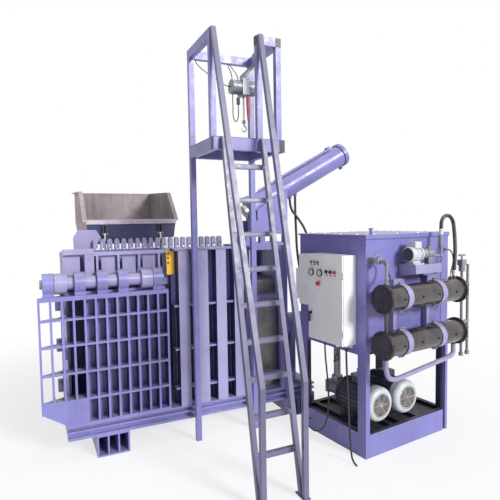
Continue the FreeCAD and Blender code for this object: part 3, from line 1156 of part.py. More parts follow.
def cooler_clamps():
    """The strap clamps round the coolers, each with its foot on the tank, and the two brackets."""
    pieces = []
    reach = COOLER_RADIUS + CLAMP_EAR
    for z in COOLER_ZS:
        for u in CLAMP_US:
            start = u - CLAMP_WIDTH / 2.0
            end = start + CLAMP_WIDTH
            strap = disc(V(start, COOLER_V, z), X_AXIS, COOLER_RADIUS + CLAMP_THICK, CLAMP_WIDTH)
            foot = box(start, end, COOLER_V, 0, z - 46.0, z + 46.0)
            ears = box(start, end, COOLER_V - 12.0, COOLER_V + 12.0, z - reach, z + reach)
            shell = disc(V(start, COOLER_V, z), X_AXIS, COOLER_RADIUS, CLAMP_WIDTH)
            pieces.append(join([strap, foot, ears]).cut(shell))
    for u in BRACKET_US:
        left = u - BRACKET_WIDTH / 2.0
        upright = box(left, left + BRACKET_WIDTH, -BRACKET_DEPTH, 0, TANK_BOTTOM + 10.0, HEAD_TOP)
        head = box(left, left + HEAD_LENGTH, -HEAD_DEPTH, 0, HEAD_BOTTOM, HEAD_TOP)
        pieces.append(join([upright, head]))
    return in_pack(group(pieces))


def circ_motor():
    """The small circulation pump's motor on its shelf: finned case, fan cover, feet, terminal box."""
    left, right, v, z = CIRC_LEFT, CIRC_RIGHT, CIRC_V, CIRC_Z
    cover = disc(V(left, v, z), X_AXIS, CIRC_RADIUS, 44.0)
    cover = cover.makeFillet(14.0, [e for e in cover.Edges if abs(e.BoundBox.XMax - left) < 0.5])
    pieces = [cover, disc(V(left + 44.0, v, z), X_AXIS, CIRC_RADIUS - 12.0, right - left - 44.0),
              disc(V(right - 16.0, v, z), X_AXIS, CIRC_RADIUS - 2.0, 16.0)]
    for index in range(16):
        angle = degrees(2 * pi * index / 16)
        fin = box(left + 52.0, right - 26.0, v - 2.0, v + 2.0, z, z + CIRC_RADIUS - 3.0)
        fin.rotate(V(0, v, z), X_AXIS, angle)
        pieces.append(fin)
    middle = (left + right) / 2.0 + 22.0
    pieces.append(box(middle - 62.0, middle + 62.0, v - 52.0, v + 52.0, SHELF_Z, SHELF_Z + 12.0))
    pieces.append(box(middle - 50.0, middle + 50.0, v - 22.0, v + 22.0, SHELF_Z, z - CIRC_RADIUS + 20.0))
    pieces.append(box(middle - 42.0, middle + 42.0, v - 40.0, v + 40.0, z + CIRC_RADIUS - 16.0,
                      z + CIRC_RADIUS + 44.0))
    return in_pack(join(pieces))


def circ_pump():
    """The circulation pump: coupling housing, case, two port flanges, outlet pipe and hose sleeve."""
    v, z = CIRC_V, CIRC_Z
    case = CIRC_RIGHT + COUPLING
    outlet = z - 26.0
    sleeve = PUMP_HOSE_Z - PUMP_SLEEVE
    pieces = [disc(V(CIRC_RIGHT, v, z), X_AXIS, 45.0, COUPLING), disc(V(case, v, z), X_AXIS, 50.0, 12.0),
              disc(V(case + 12.0, v, z), X_AXIS, 40.0, 80.0), disc(V(case + 92.0, v, z), X_AXIS, 26.0, 14.0),
              disc(V(case + 50.0, v, z), Z_AXIS, 15.0, 62.0),
              disc(V(case + 50.0, v, z + 50.0), Z_AXIS, 24.0, 12.0),
              box(case + 20.0, case + 80.0, v - 24.0, v + 24.0, SHELF_Z, z),
              disc(V(case + 70.0, v, outlet), X_AXIS, 11.0, PUMP_HOSE_U - case - 70.0),
              box(PUMP_HOSE_U - 15.0, PUMP_HOSE_U + 15.0, v - 15.0, v + 15.0, outlet - 16.0, outlet + 16.0),
              disc(V(PUMP_HOSE_U, v, outlet), Z_AXIS, 11.0, sleeve - outlet),
              disc(V(PUMP_HOSE_U, v, sleeve), Z_AXIS, 20.0, PUMP_SLEEVE)]
    return in_pack(join(pieces))


def pump_shelf():
    """The folded shelf under the circulation pump."""
    reach = -CIRC_V + 70.0
    top = box(SHELF_LEFT, SHELF_RIGHT, -reach, 0, SHELF_Z - 8.0, SHELF_Z)
    apron = box(SHELF_LEFT, SHELF_RIGHT, -reach, -reach + 8.0, SHELF_Z - SHELF_APRON, SHELF_Z)
    sides = [prism_yz([(-reach, SHELF_Z), (0, SHELF_Z), (0, SHELF_Z - 110.0), (-reach, SHELF_Z - SHELF_APRON)],
                      u, u + 8.0) for u in (SHELF_LEFT, SHELF_RIGHT - 8.0)]
    return join([top, apron] + sides)


def cowl(u):
    """A motor's fan cover: a round-shouldered sheet shell with a grille of curved slots."""
    front, back, radius = MOTOR_FRONT, MOTOR_FRONT + COWL_DEPTH, MOTOR_RADIUS
    shoulder = 46.0

    def shell(r, start, corner):
        """The cowl's outline turned about the motor's axis."""
        outline = [V(0, start, 0), V(r - corner, start, 0)]
        arc = Part.Arc(V(r - corner, start, 0), V(r - corner * (1 - sin(pi / 4)), start + corner * (1 - cos(pi / 4)), 0),
                       V(r, start + corner, 0)).toShape()
        edges = [Part.LineSegment(outline[0], outline[1]).toShape(), arc,
                 Part.LineSegment(V(r, start + corner, 0), V(r, back, 0)).toShape(),
                 Part.LineSegment(V(r, back, 0), V(0, back, 0)).toShape(),
                 Part.LineSegment(V(0, back, 0), V(0, start, 0)).toShape()]
        return Part.Face(Part.Wire(edges)).revolve(V(0, 0, 0), Y_AXIS, 360)

    body = shell(radius, front, shoulder).cut(shell(radius - COWL_WALL, front + COWL_WALL, shoulder - COWL_WALL))
    slots = []
    for index in range(GRILLE_RINGS):
        inner = 20.0 + index * GRILLE_PITCH
        slots.append(ring(V(0, front - 1.0, 0), Y_AXIS, inner + GRILLE_PITCH * 0.6, inner, COWL_WALL + 2.0))
    spokes = []
    for angle in (0.0, 60.0, 120.0):
        spoke = box(-150.0, 150.0, front - 2.0, front + COWL_WALL + 2.0, -3.5, 3.5)
        spoke.rotate(V(0, 0, 0), Y_AXIS, angle)
        spokes.append(spoke)
    body = body.cut(group(slots).cut(join(spokes)))
    body.translate(V(u, 0, MOTOR_Z))
    return body


def main_motors():
    """The two pump motors: finned cases on feet, terminal boxes and the fan covers in front."""
    motors = []
    for u in MOTOR_US:
        start = MOTOR_FRONT + COWL_DEPTH
        pieces = [disc(V(u, start, MOTOR_Z), Y_AXIS, MOTOR_RADIUS, 14.0),
                  disc(V(u, start, MOTOR_Z), Y_AXIS, MOTOR_RADIUS - 20.0, MOTOR_BACK - start),
                  disc(V(u, MOTOR_BACK - 18.0, MOTOR_Z), Y_AXIS, MOTOR_RADIUS, 18.0)]
        for index in range(24):
            fin = box(u - 2.5, u + 2.5, start, MOTOR_BACK - 10.0, MOTOR_Z, MOTOR_Z + MOTOR_RADIUS - 4.0)
            fin.rotate(V(u, 0, MOTOR_Z), Y_AXIS, 7.5 + 15.0 * index)
            pieces.append(fin)
        for v0 in (start + 40.0, MOTOR_BACK - 90.0):
            pieces.append(box(u - MOTOR_RADIUS * 0.86, u + MOTOR_RADIUS * 0.86, v0, v0 + 50.0,
                              SKID_RAIL, SKID_RAIL + 16.0))
            for side in (-1, 1):
                middle = u + side * MOTOR_RADIUS * 0.66
                pieces.append(box(middle - 12.0, middle + 12.0, v0, v0 + 50.0, SKID_RAIL, MOTOR_Z - 60.0))
        pieces.append(box(u - 55.0, u + 55.0, start + 110.0, start + 230.0, MOTOR_Z + MOTOR_RADIUS - 30.0,
                          MOTOR_Z + MOTOR_RADIUS + 48.0))
        stub = disc(V(u, start - 62.0, MOTOR_Z), Y_AXIS, SHAFT_RADIUS, 62.0)
        motors.append(join(pieces + [stub]))
        motors.append(cowl(u))
    return in_pack(group(motors))


def motor_fan(u):
    """One cooling fan on a motor's shaft: hub and flat blades inside the cowl."""
    start = MOTOR_FRONT + COWL_DEPTH - 62.0
    hub = disc(V(u, start, MOTOR_Z), Y_AXIS, SHAFT_RADIUS + 20.0, 44.0)
    blades = []
    for index in range(FAN_BLADES):
        blade = box(u - 2.0, u + 2.0, start + 2.0, start + 40.0, MOTOR_Z + SHAFT_RADIUS + 10.0, MOTOR_Z + FAN_RADIUS)
        blade.rotate(V(u, 0, MOTOR_Z), Y_AXIS, 360.0 * index / FAN_BLADES)
        blades.append(blade)
    fan = join([hub] + blades)
    return in_pack(fan.cut(disc(V(u, start - 1.0, MOTOR_Z), Y_AXIS, SHAFT_RADIUS + RUN_FIT, 46.0)))


def motor_fan_left():
    """The left motor's fan."""
    return motor_fan(MOTOR_US[0])


def motor_fan_right():
    """The right motor's fan."""
    return motor_fan(MOTOR_US[1])


def main_pumps():
    """Two main pumps behind their motors: bell housing, pump case, and suction pipe from the tank."""
    pumps = []
    for u in MOTOR_US:
        start = MOTOR_BACK
        pieces = [disc(V(u, start, MOTOR_Z), Y_AXIS, PUMP_RADIUS, 70.0),
                  disc(V(u, start + 70.0, MOTOR_Z), Y_AXIS, PUMP_RADIUS - 34.0, 130.0),
                  box(u - 62.0, u + 62.0, start + 200.0, start + 250.0, MOTOR_Z - 62.0, MOTOR_Z + 62.0),
                  disc(V(u, start + 140.0, MOTOR_Z), Z_AXIS, 34.0, TANK_BOTTOM - MOTOR_Z),
                  disc(V(u, start + 140.0, TANK_BOTTOM - 20.0), Z_AXIS, 56.0, 20.0),
                  disc(V(u, start + 140.0, MOTOR_Z + 100.0), Z_AXIS, 56.0, 24.0)]
        pumps.append(join(pieces))
    return in_pack(group(pumps))


def return_pipe():
    """The painted return pipe under the lower cooler, from its left nozzle to its right one."""
    z = COOLER_ZS[1] - NOZZLE_REACH
    left, right, v = PIPE_LEFT, PIPE_RIGHT, COOLER_V
    points = [V(left, v, z), V(left, v, z - 95.0), V(left + 28.0, v, z - 165.0), V(left + 110.0, v, z - 190.0),
              V(right - 52.0, v, z - 112.0), V(right, v, z - 92.0), V(right, v, z)]
    return in_pack(route_tube("return pipe", points, RETURN_PIPE))


def hose_routes():
    """The routes of the cooler hoses in the pack's own frame, with their diameters."""
    z = COOLER_ZS[0] + NOZZLE_REACH
    v, start, crown = CIRC_V, PUMP_HOSE_U, HOSE_CROWN
    corner = HOSE_BEND * tan(pi / 8)
    top = crown - HOSE_BEND + corner
    loop = [V(start, v, PUMP_HOSE_Z), V(start, v, PUMP_HOSE_Z + 60.0), V(start + 1.0, v - 1.0, top),
            V(start + HOSE_BEND - corner, v - 3.0, crown), V(start + HOSE_BEND + corner, v - 6.0, crown),
            V(start + 2 * HOSE_BEND, v - 12.0, top), V(1022.0, v - 20.0, 1990.0), V(1016.0, v - 34.0, 1880.0),
            V(1000.0, v - 48.0, 1775.0), V(980.0, v - 56.0, 1685.0), V(NOZZLE_HOSE, COOLER_V, z + 60.0),
            V(NOZZLE_HOSE, COOLER_V, z)]
    thin = [V(THIN_U, -24.0, THIN_Z), V(THIN_U, -58.0, THIN_Z), V(THIN_U - 10.0, -96.0, THIN_Z - 30.0),
            V(1020.0, -130.0, 1710.0), V(960.0, -160.0, 1650.0), V(NOZZLE_THIN, COOLER_V, z + 52.0),
            V(NOZZLE_THIN, COOLER_V, z)]
    left = [V(ELBOW_U + 30.0, ELBOW_V, ELBOW_Z), V(ELBOW_U + 66.0, ELBOW_V, ELBOW_Z),
            V(ELBOW_U + 94.0, ELBOW_V - 8.0, ELBOW_Z - 58.0), V(ELBOW_U + 80.0, ELBOW_V - 40.0, ELBOW_Z - 112.0),
            V(NOZZLE_LEFT + 50.0, COOLER_V, ELBOW_Z - 138.0), V(NOZZLE_LEFT + 20.0, COOLER_V, ELBOW_Z - 138.0)]
    return (("cooler hose loop", loop, COOLER_HOSE), ("tank hose", thin, THIN_HOSE),
            ("left hose", left, LEFT_HOSE))


def cooler_hoses():
    """The black hoses between the tank, the circulation pump and the upper cooler."""
    tubes = []
    for label, points, diameter in hose_routes():
        tubes.append(in_pack(route_tube(label, points, diameter)))
    return group(tubes)


def pack_fittings():
    """Valves and pipes on the pack: left elbow, tank nozzle, filter block, and the two riser pipes."""
    z = COOLER_ZS[0] + NOZZLE_REACH
    left = [disc(V(NOZZLE_LEFT, COOLER_V, z), Z_AXIS, 14.0, ELBOW_Z - z),
            disc(V(NOZZLE_LEFT, COOLER_V, z), Z_AXIS, 24.0, 12.0),
            disc(V(NOZZLE_LEFT, 0, ELBOW_Z), V(0, -1, 0), 16.0, -COOLER_V),
            disc(V(NOZZLE_LEFT, 0, ELBOW_Z), V(0, -1, 0), 34.0, 16.0),
            box(NOZZLE_LEFT - 30.0, NOZZLE_LEFT + 30.0, ELBOW_V - 26.0, ELBOW_V + 26.0, ELBOW_Z - 26.0,
                ELBOW_Z + 26.0),
            disc(V(NOZZLE_LEFT, ELBOW_V, ELBOW_Z), Z_AXIS, 9.0, 52.0),
            box(NOZZLE_LEFT - 34.0, NOZZLE_LEFT + 34.0, ELBOW_V - 7.0, ELBOW_V + 7.0, ELBOW_Z + 46.0,
                ELBOW_Z + 58.0),
            box(NOZZLE_LEFT, NOZZLE_LEFT + 20.0, COOLER_V - 12.0, COOLER_V + 12.0, ELBOW_Z - 150.0,
                ELBOW_Z - 126.0)]
    nozzle = disc(V(THIN_U, -5.0, THIN_Z), V(0, -1, 0), 12.0, 19.0)
    u0 = TANK_WIDTH
    arms = [box(u0, RISER_US[1] + 12.0, 20.0, 46.0, level, level + 22.0) for level in ARM_LEVELS]
    risers = []
    for u, top in zip(RISER_US, RISER_TOPS):
        risers.append(disc(V(u, 33.0, RISER_LOW), Z_AXIS, 14.0, top - RISER_LOW))
        risers.append(disc(V(u, 33.0, RISER_LOW), Z_AXIS, 22.0, 34.0))
    valve_u, valve_z = RISER_US[0], RISER_TOPS[0]
    valve = [disc(V(valve_u, 33.0, valve_z), Z_AXIS, 32.0, 62.0),
             box(valve_u - 36.0, valve_u + 36.0, 4.0, 62.0, valve_z + 62.0, valve_z + 118.0),
             disc(V(valve_u, 33.0, valve_z + 118.0), Z_AXIS, 9.0, 42.0),
             box(valve_u - 46.0, valve_u + 46.0, 24.0, 42.0, valve_z + 154.0, valve_z + 172.0)]
    back = [disc(V(u, PACK_DEPTH, HOSE_TANK_Z), Y_AXIS, 22.0, 20.0) for u in HOSE_TANK_US]
    return in_pack(group([join(left), nozzle, join(arms + risers + valve)] + back))


# ---------------------------------------------------------------- control cabinet
def control_cabinet():
    """The cabinet's case on the tank's left side, the shallow box behind it and the small panel."""
    t = CAB_SHEET
    case = box(-CAB_DEPTH, 0, CAB_FRONT, CAB_BACK, CAB_BOTTOM, CAB_TOP)
    case = case.cut(box(-CAB_DEPTH, -t, CAB_FRONT + t, CAB_BACK - t, CAB_BOTTOM + t, CAB_TOP - t))
    side = box(-SIDE_BOX_DEPTH, 0, CAB_BACK, SIDE_BOX_BACK, SIDE_BOX_BOTTOM, CAB_TOP - 14.0)
    side = side.cut(box(-SIDE_BOX_DEPTH + t, -t, CAB_BACK + t, SIDE_BOX_BACK - t,
                        SIDE_BOX_BOTTOM + t, CAB_TOP - 14.0 - t))
    lid_edge = box(-SIDE_BOX_DEPTH - 8.0, -SIDE_BOX_DEPTH, CAB_BACK + 4.0, SIDE_BOX_BACK,
                   SIDE_BOX_BOTTOM, CAB_TOP - 14.0)
    lock = disc(V(-SIDE_BOX_DEPTH - 8.0, SIDE_BOX_BACK - 40.0, 1536.0), V(-1, 0, 0), 13.0, 8.0)
    panel = box(-60.0, 0, PANEL_VS[0], PANEL_VS[1], 1318.0, 1622.0)
    knuckles = []
    for z in (CAB_BOTTOM + 110.0, CAB_TOP - 170.0):
        knuckles.append(join([disc(V(DOOR_AXIS_U, DOOR_AXIS_V, z - 30.0), Z_AXIS, 5.0, 60.0),
                              disc(V(DOOR_AXIS_U, DOOR_AXIS_V, z - 30.0), Z_AXIS, 9.0, 29.0),
                              box(DOOR_AXIS_U, -CAB_DEPTH + 30.0, DOOR_AXIS_V - 4.0, DOOR_AXIS_V + 4.0,
                                  z - 30.0, z - 1.0),
                              box(-CAB_DEPTH + 3.0, -CAB_DEPTH + 30.0, DOOR_AXIS_V, CAB_FRONT,
                                  z - 30.0, z - 1.0)]))
    mount = box(-20.0, 0, CAB_FRONT + 40.0, CAB_BACK - 40.0, CAB_BOTTOM - 40.0, CAB_BOTTOM)
    glands = []
    for u, v in GLANDS:
        glands.append(disc(V(u, v, CAB_BOTTOM), V(0, 0, -1), 15.0, 28.0))
    return in_pack(group([join([case, side, lid_edge, lock, mount] + glands), panel] + knuckles))


def cabinet_door():
    """The cabinet's door leaf with its folded rim and hinge knuckles."""
    u0 = -CAB_DEPTH - DOOR_SHEET
    leaf = box(u0, -CAB_DEPTH - 0.2, CAB_FRONT, CAB_BACK, CAB_BOTTOM, CAB_TOP)
    leaf = leaf.cut(box(u0 + 4.0, -CAB_DEPTH, CAB_FRONT + 12.0, CAB_BACK - 12.0, CAB_BOTTOM + 12.0, CAB_TOP - 12.0))
    knuckles = []
    for z in (CAB_BOTTOM + 110.0, CAB_TOP - 170.0):
        eye = disc(V(DOOR_AXIS_U, DOOR_AXIS_V, z + 1.0), Z_AXIS, 9.0, 29.0)
        tab = box(u0 + 1.0, DOOR_AXIS_U, DOOR_AXIS_V - 4.0, CAB_FRONT + 2.0, z + 1.0, z + 30.0)
        knuckles.append(eye.fuse(tab).cut(disc(V(DOOR_AXIS_U, DOOR_AXIS_V, z + 1.0), Z_AXIS, 5.0 + RUN_FIT, 29.0)))
    door_part = join([leaf] + knuckles)
    for v in BUTTON_VS:
        door_part = door_part.cut(disc(V(u0 - 1.0, v, BUTTON_Z), X_AXIS, BUTTON_RADIUS - 4.0 + RUN_FIT, 8.0))
    door_part = door_part.cut(disc(V(u0 - 1.0, ESTOP_V, ESTOP_Z), X_AXIS, 10.0 + RUN_FIT, 8.0))
    door_part = door_part.cut(disc(V(u0 - 1.0, HANDLE_V, HANDLE_Z), X_AXIS, 9.0 + RUN_FIT, 8.0))
    latch = disc(V(u0, 319.0, 1049.0), V(-1, 0, 0), 10.0, 6.0)
    return in_pack(door_part.fuse(latch).removeSplitter())


def cabinet_meters():
    """The door's fixed instruments: two round meters and a row of lamps."""
    u0 = -CAB_DEPTH - DOOR_SHEET
    parts = []
    for v in METER_VS:
        rim = ring(V(u0, v, METER_Z), V(-1, 0, 0), METER_RADIUS, METER_RADIUS - 5.0, 14.0)
        face = disc(V(u0, v, METER_Z), V(-1, 0, 0), METER_RADIUS - 5.0, 8.0)
        hand = box(u0 - 10.0, u0 - 8.0, v - 1.5, v + 1.5, METER_Z - 6.0, METER_Z + METER_RADIUS - 9.0)
        parts.append(join([rim, face, hand]))
    for v in LAMP_VS:
        parts.append(join([disc(V(u0, v, LAMP_Z), V(-1, 0, 0), 14.0, 5.0),
                           disc(V(u0, v, LAMP_Z), V(-1, 0, 0), 10.0, 13.0)]))
    return in_pack(group(parts))


def push_button(v):
    """One spring-returned push button with its stem through the door."""
    u0 = -CAB_DEPTH - DOOR_SHEET
    cap = disc(V(u0 - BUTTON_TRAVEL - 1.0, v, BUTTON_Z), V(-1, 0, 0), BUTTON_RADIUS, 8.0)
    stem = disc(V(u0 - BUTTON_TRAVEL - 1.0, v, BUTTON_Z), X_AXIS, BUTTON_RADIUS - 4.0, BUTTON_TRAVEL + 5.0)
    return in_pack(cap.fuse(stem).removeSplitter())


def push_button_1():
    """The button nearest the meters."""
    return push_button(BUTTON_VS[0])


def push_button_2():
    """The middle button."""
    return push_button(BUTTON_VS[1])


def push_button_3():
    """The button nearest the hinge."""
    return push_button(BUTTON_VS[2])


def e_stop():
    """The mushroom-headed stop button."""
    u0 = -CAB_DEPTH - DOOR_SHEET
    head = disc(V(u0 - BUTTON_TRAVEL - 10.0, ESTOP_V, ESTOP_Z), V(-1, 0, 0), 22.0, 14.0)
    rim = [e for e in head.Edges if e.BoundBox.XMax < u0 - BUTTON_TRAVEL - 20.0 and e.BoundBox.YLength > 10]
    head = head.makeFillet(6.0, rim[:1])
    stem = disc(V(u0 - BUTTON_TRAVEL - 10.0, ESTOP_V, ESTOP_Z), X_AXIS, 10.0, BUTTON_TRAVEL + 14.0)
    return in_pack(head.fuse(stem).removeSplitter())


def door_handle():
    """The turning handle of the cabinet's door: boss, grip and spindle."""
    u0 = -CAB_DEPTH - DOOR_SHEET
    spindle = disc(V(u0 - 14.0, HANDLE_V, HANDLE_Z), X_AXIS, 9.0, 18.0)
    boss = disc(V(u0 - 0.2, HANDLE_V, HANDLE_Z), V(-1, 0, 0), 14.0, 20.0)
    grip = box(u0 - 30.0, u0 - 18.0, HANDLE_V - 10.0, HANDLE_V + 10.0, HANDLE_Z - 82.0, HANDLE_Z + 16.0)
    grip = grip.makeFillet(4.0, [e for e in grip.Edges if e.BoundBox.ZLength > 50])
    return in_pack(join([spindle, boss, grip]))


def cable_routes():
    """The routes of the cabinet's cables in the pack's own frame, with their diameters."""
    z = CAB_BOTTOM - 28.0
    (u_a, v_a), (u_b, v_b), (u_c, v_c), (u_d, v_d) = GLANDS
    hanging = [V(u_a, v_a, z), V(u_a, v_a, z - 110.0), V(u_a - 12.0, v_a - 40.0, 700.0),
               V(u_a - 24.0, v_a - 75.0, 530.0), V(u_a - 34.0, v_a - 85.0, 360.0), V(u_a - 34.0, v_a - 50.0, 215.0),
               V(u_a - 36.0, v_a + 30.0, 110.0), V(u_a - 36.0, v_a + 130.0, 76.0), V(u_a - 30.0, v_a + 220.0, 100.0),
               V(u_a + 12.0, v_a + 280.0, 130.0), V(-24.0, v_a + 280.0, 130.0)]
    supply = [V(u_b, v_b, z), V(u_b, v_b, z - 100.0), V(u_b - 18.0, v_b - 30.0, 690.0),
              V(u_b - 36.0, v_b - 62.0, 500.0), V(u_b - 54.0, v_b - 92.0, 310.0), V(u_b - 68.0, v_b - 122.0, 130.0),
              V(u_b - 76.0, v_b - 150.0, 14.0), V(u_b - 88.0, v_b - 215.0, 9.0)]
    loop = [V(u_c, v_c, z), V(u_c, v_c, z - 50.0), V(u_c - 14.0, v_c + 18.0, z - 110.0),
            V(u_c - 10.0, v_c + 50.0, z - 150.0), V(u_d - 6.0, v_d - 26.0, z - 130.0),
            V(u_d, v_d, z - 60.0), V(u_d, v_d, z)]
    return (("hanging cable", hanging, 15.0), ("supply lead", supply, 17.0), ("gland loop", loop, 12.0))


def cabinet_cables():
    """The cables that hang from the cabinet's glands, and the gland block on the skid."""
    tubes = [in_pack(route_tube(label, points, diameter)) for label, points, diameter in cable_routes()]
    v = GLANDS[0][1] + 280.0
    block = in_pack(box(-24.0, 0, v - 16.0, v + 16.0, 114.0, 146.0))
    return group(tubes + [block])


def stand_hoses():
    """The two black hoses from the inclined cylinder down to the tank's back."""
    axis = tamper_axis()
    slope = axis.z / axis.x

    def boss_z(x):
        """The height of a hose fitting's end under the barrel."""
        return TAMPER_Z + (x - TAMPER_X) * slope - TAMPER_BARREL / axis.x - PORT_REACH

    ends = [pack_point(u, PACK_DEPTH + 20.0, HOSE_TANK_Z) for u in HOSE_TANK_US]
    before = [pack_point(u, PACK_DEPTH + 160.0, HOSE_TANK_Z) for u in HOSE_TANK_US]
    x, y = PORT_XS[0], 0.0
    first = [V(x, y, boss_z(x)), V(x, y, 2200.0), V(x + 8.0, y - 3.0, 1980.0), V(x + 8.0, y - 15.0, 1760.0),
             V(x - 14.0, y - 110.0, 1560.0), before[0], ends[0]]
    x = PORT_XS[1]
    second = [V(x, y, boss_z(x)), V(x, y, 2240.0), V(x + 88.0, y - 26.0, 2130.0),
              V(x + 160.0, y - 70.0, 2000.0), V(x + 153.0, y - 150.0, 1840.0), V(x + 118.0, y - 215.0, 1660.0),
              V(x + 78.0, y - 262.0, 1490.0), before[1], ends[1]]
    return group([route_tube("straight hose", first, STAND_HOSE), route_tube("curved hose", second, STAND_HOSE)])


NODES = {
    "press_feet": press_feet,
    "base_frame": base_frame,
    "side_wall": side_wall,
    "rear_wall": rear_wall,
    "hinge_pin": hinge_pin,
    "fixed_knuckles": fixed_knuckles,
    "lid": lid,
    "lid_strip": lid_strip,
    "shear_comb": shear_comb,
    "end_door": door,
    "ram_body": ram_body,
    "guide_frame": guide_frame,
    "main_ram": main_ram,
    "main_cylinder": main_cylinder,
    "side_ram": side_ram,
    "side_cylinder": side_cylinder,
    "tamper_cylinder": tamper_cylinder,
    "tamper_ram": tamper_ram,
    "cylinder_stand": cylinder_stand,
    "hopper_tray": hopper_tray,
    "hopper_lugs": hopper_lugs,
    "hopper_frame": hopper_frame,
    "tower_frame": tower_frame,
    "tube_plugs": tube_plugs,
    "tower_deck": tower_deck,
    "ladder": ladder,
    "handrails": handrails,
    "hoist_trolley": hoist_trolley,
    "hoist_body": hoist_body,
    "chain_bag": chain_bag,
    "hoist_hook": hoist_hook,
    "pendant": pendant,
    "pendant_cable": pendant_cable,
    "supply_cable": supply_cable,
    "pack_skid": pack_skid,
    "oil_tank": oil_tank,
    "tank_cover": tank_cover,
    "coolers": coolers,
    "cooler_caps": cooler_caps,
    "cooler_clamps": cooler_clamps,
    "circ_motor": circ_motor,
    "circ_pump": circ_pump,
    "pump_shelf": lambda: in_pack(pump_shelf()),
    "main_motors": main_motors,
    "motor_fan_left": motor_fan_left,
    "motor_fan_right": motor_fan_right,
    "main_pumps": main_pumps,
    "return_pipe": return_pipe,
    "cooler_hoses": cooler_hoses,
    "pack_fittings": pack_fittings,
    "control_cabinet": control_cabinet,
    "cabinet_door": cabinet_door,
    "cabinet_meters": cabinet_meters,
    "push_button_1": push_button_1,
    "push_button_2": push_button_2,
    "push_button_3": push_button_3,
    "e_stop": e_stop,
    "door_handle": door_handle,
    "cabinet_cables": cabinet_cables,
    "stand_hoses": stand_hoses,
}

os.makedirs("parts", exist_ok=True)
for node, make in NODES.items():
    shape = make()
    shape.exportStep("parts/" + node + ".step")
    print(node, "solids", len(shape.Solids), "valid", shape.isValid(), "volume", round(shape.Volume / 1e6, 2))
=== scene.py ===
"""Looks of a recycling baler: finishes, welded and bolted detail, cords, cloth, light and camera.

Everything is in metres in the part's own frame: the origin is on the floor under the middle of the
press's front foot, +X runs towards the power pack and +Y away from the operator."""
import json
import logging
from dataclasses import dataclass
from enum import Enum
from math import cos, pi, radians, sin
from typing import Callable, Iterable, Sequence

import bmesh
import bpy
from mathutils import Matrix, Vector

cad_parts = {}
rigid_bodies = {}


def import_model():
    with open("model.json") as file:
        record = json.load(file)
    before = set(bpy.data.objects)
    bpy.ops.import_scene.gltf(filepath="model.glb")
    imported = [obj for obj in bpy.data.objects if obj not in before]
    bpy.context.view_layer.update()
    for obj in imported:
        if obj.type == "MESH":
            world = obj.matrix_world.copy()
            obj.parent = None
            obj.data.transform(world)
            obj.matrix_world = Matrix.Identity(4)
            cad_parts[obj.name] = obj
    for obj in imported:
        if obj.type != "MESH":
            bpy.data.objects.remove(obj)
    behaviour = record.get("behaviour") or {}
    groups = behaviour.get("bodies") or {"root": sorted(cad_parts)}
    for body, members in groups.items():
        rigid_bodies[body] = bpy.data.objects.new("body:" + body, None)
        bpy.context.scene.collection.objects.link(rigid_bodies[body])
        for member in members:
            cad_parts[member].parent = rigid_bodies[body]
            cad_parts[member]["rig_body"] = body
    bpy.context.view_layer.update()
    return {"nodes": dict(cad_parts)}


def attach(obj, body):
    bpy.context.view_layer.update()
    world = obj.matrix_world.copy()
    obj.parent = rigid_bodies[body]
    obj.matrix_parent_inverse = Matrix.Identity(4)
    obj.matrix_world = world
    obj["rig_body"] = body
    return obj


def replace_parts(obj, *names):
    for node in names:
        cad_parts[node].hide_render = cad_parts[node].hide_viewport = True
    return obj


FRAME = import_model()
LOG = logging.getLogger("baler")

Pair = tuple[float, float]
Place = tuple[float, float, float]
Colour = tuple[float, float, float]
Outline = tuple[Pair, ...]
Point = Sequence[float]
Socket = bpy.types.NodeSocket
UP = Vector((0.0, 0.0, 1.0))
RIGHT = Vector((1.0, 0.0, 0.0))
BACK = Vector((0.0, 1.0, 0.0))
BOTH = (-1.0, 1.0)


class Slot(Enum):
    """The record's material slots."""
    LILAC = "lilac_paint"
    TANK = "tank_paint"
    STEEL = "bare_steel"
    CHROME = "chrome_rod"
    YELLOW = "yellow_paint"
    BLACK = "black_plastic"
    HOIST = "hoist_metal"
    CLOTH = "pink_cloth"
    RUBBER = "black_rubber"
    COOLER = "cooler_shell"
    MOTOR = "motor_grey"
    PUMP = "pump_metal"
    FAN = "fan_plastic"
    CABINET = "cabinet_paint"
    METER = "meter_plastic"
    RED = "red_plastic"


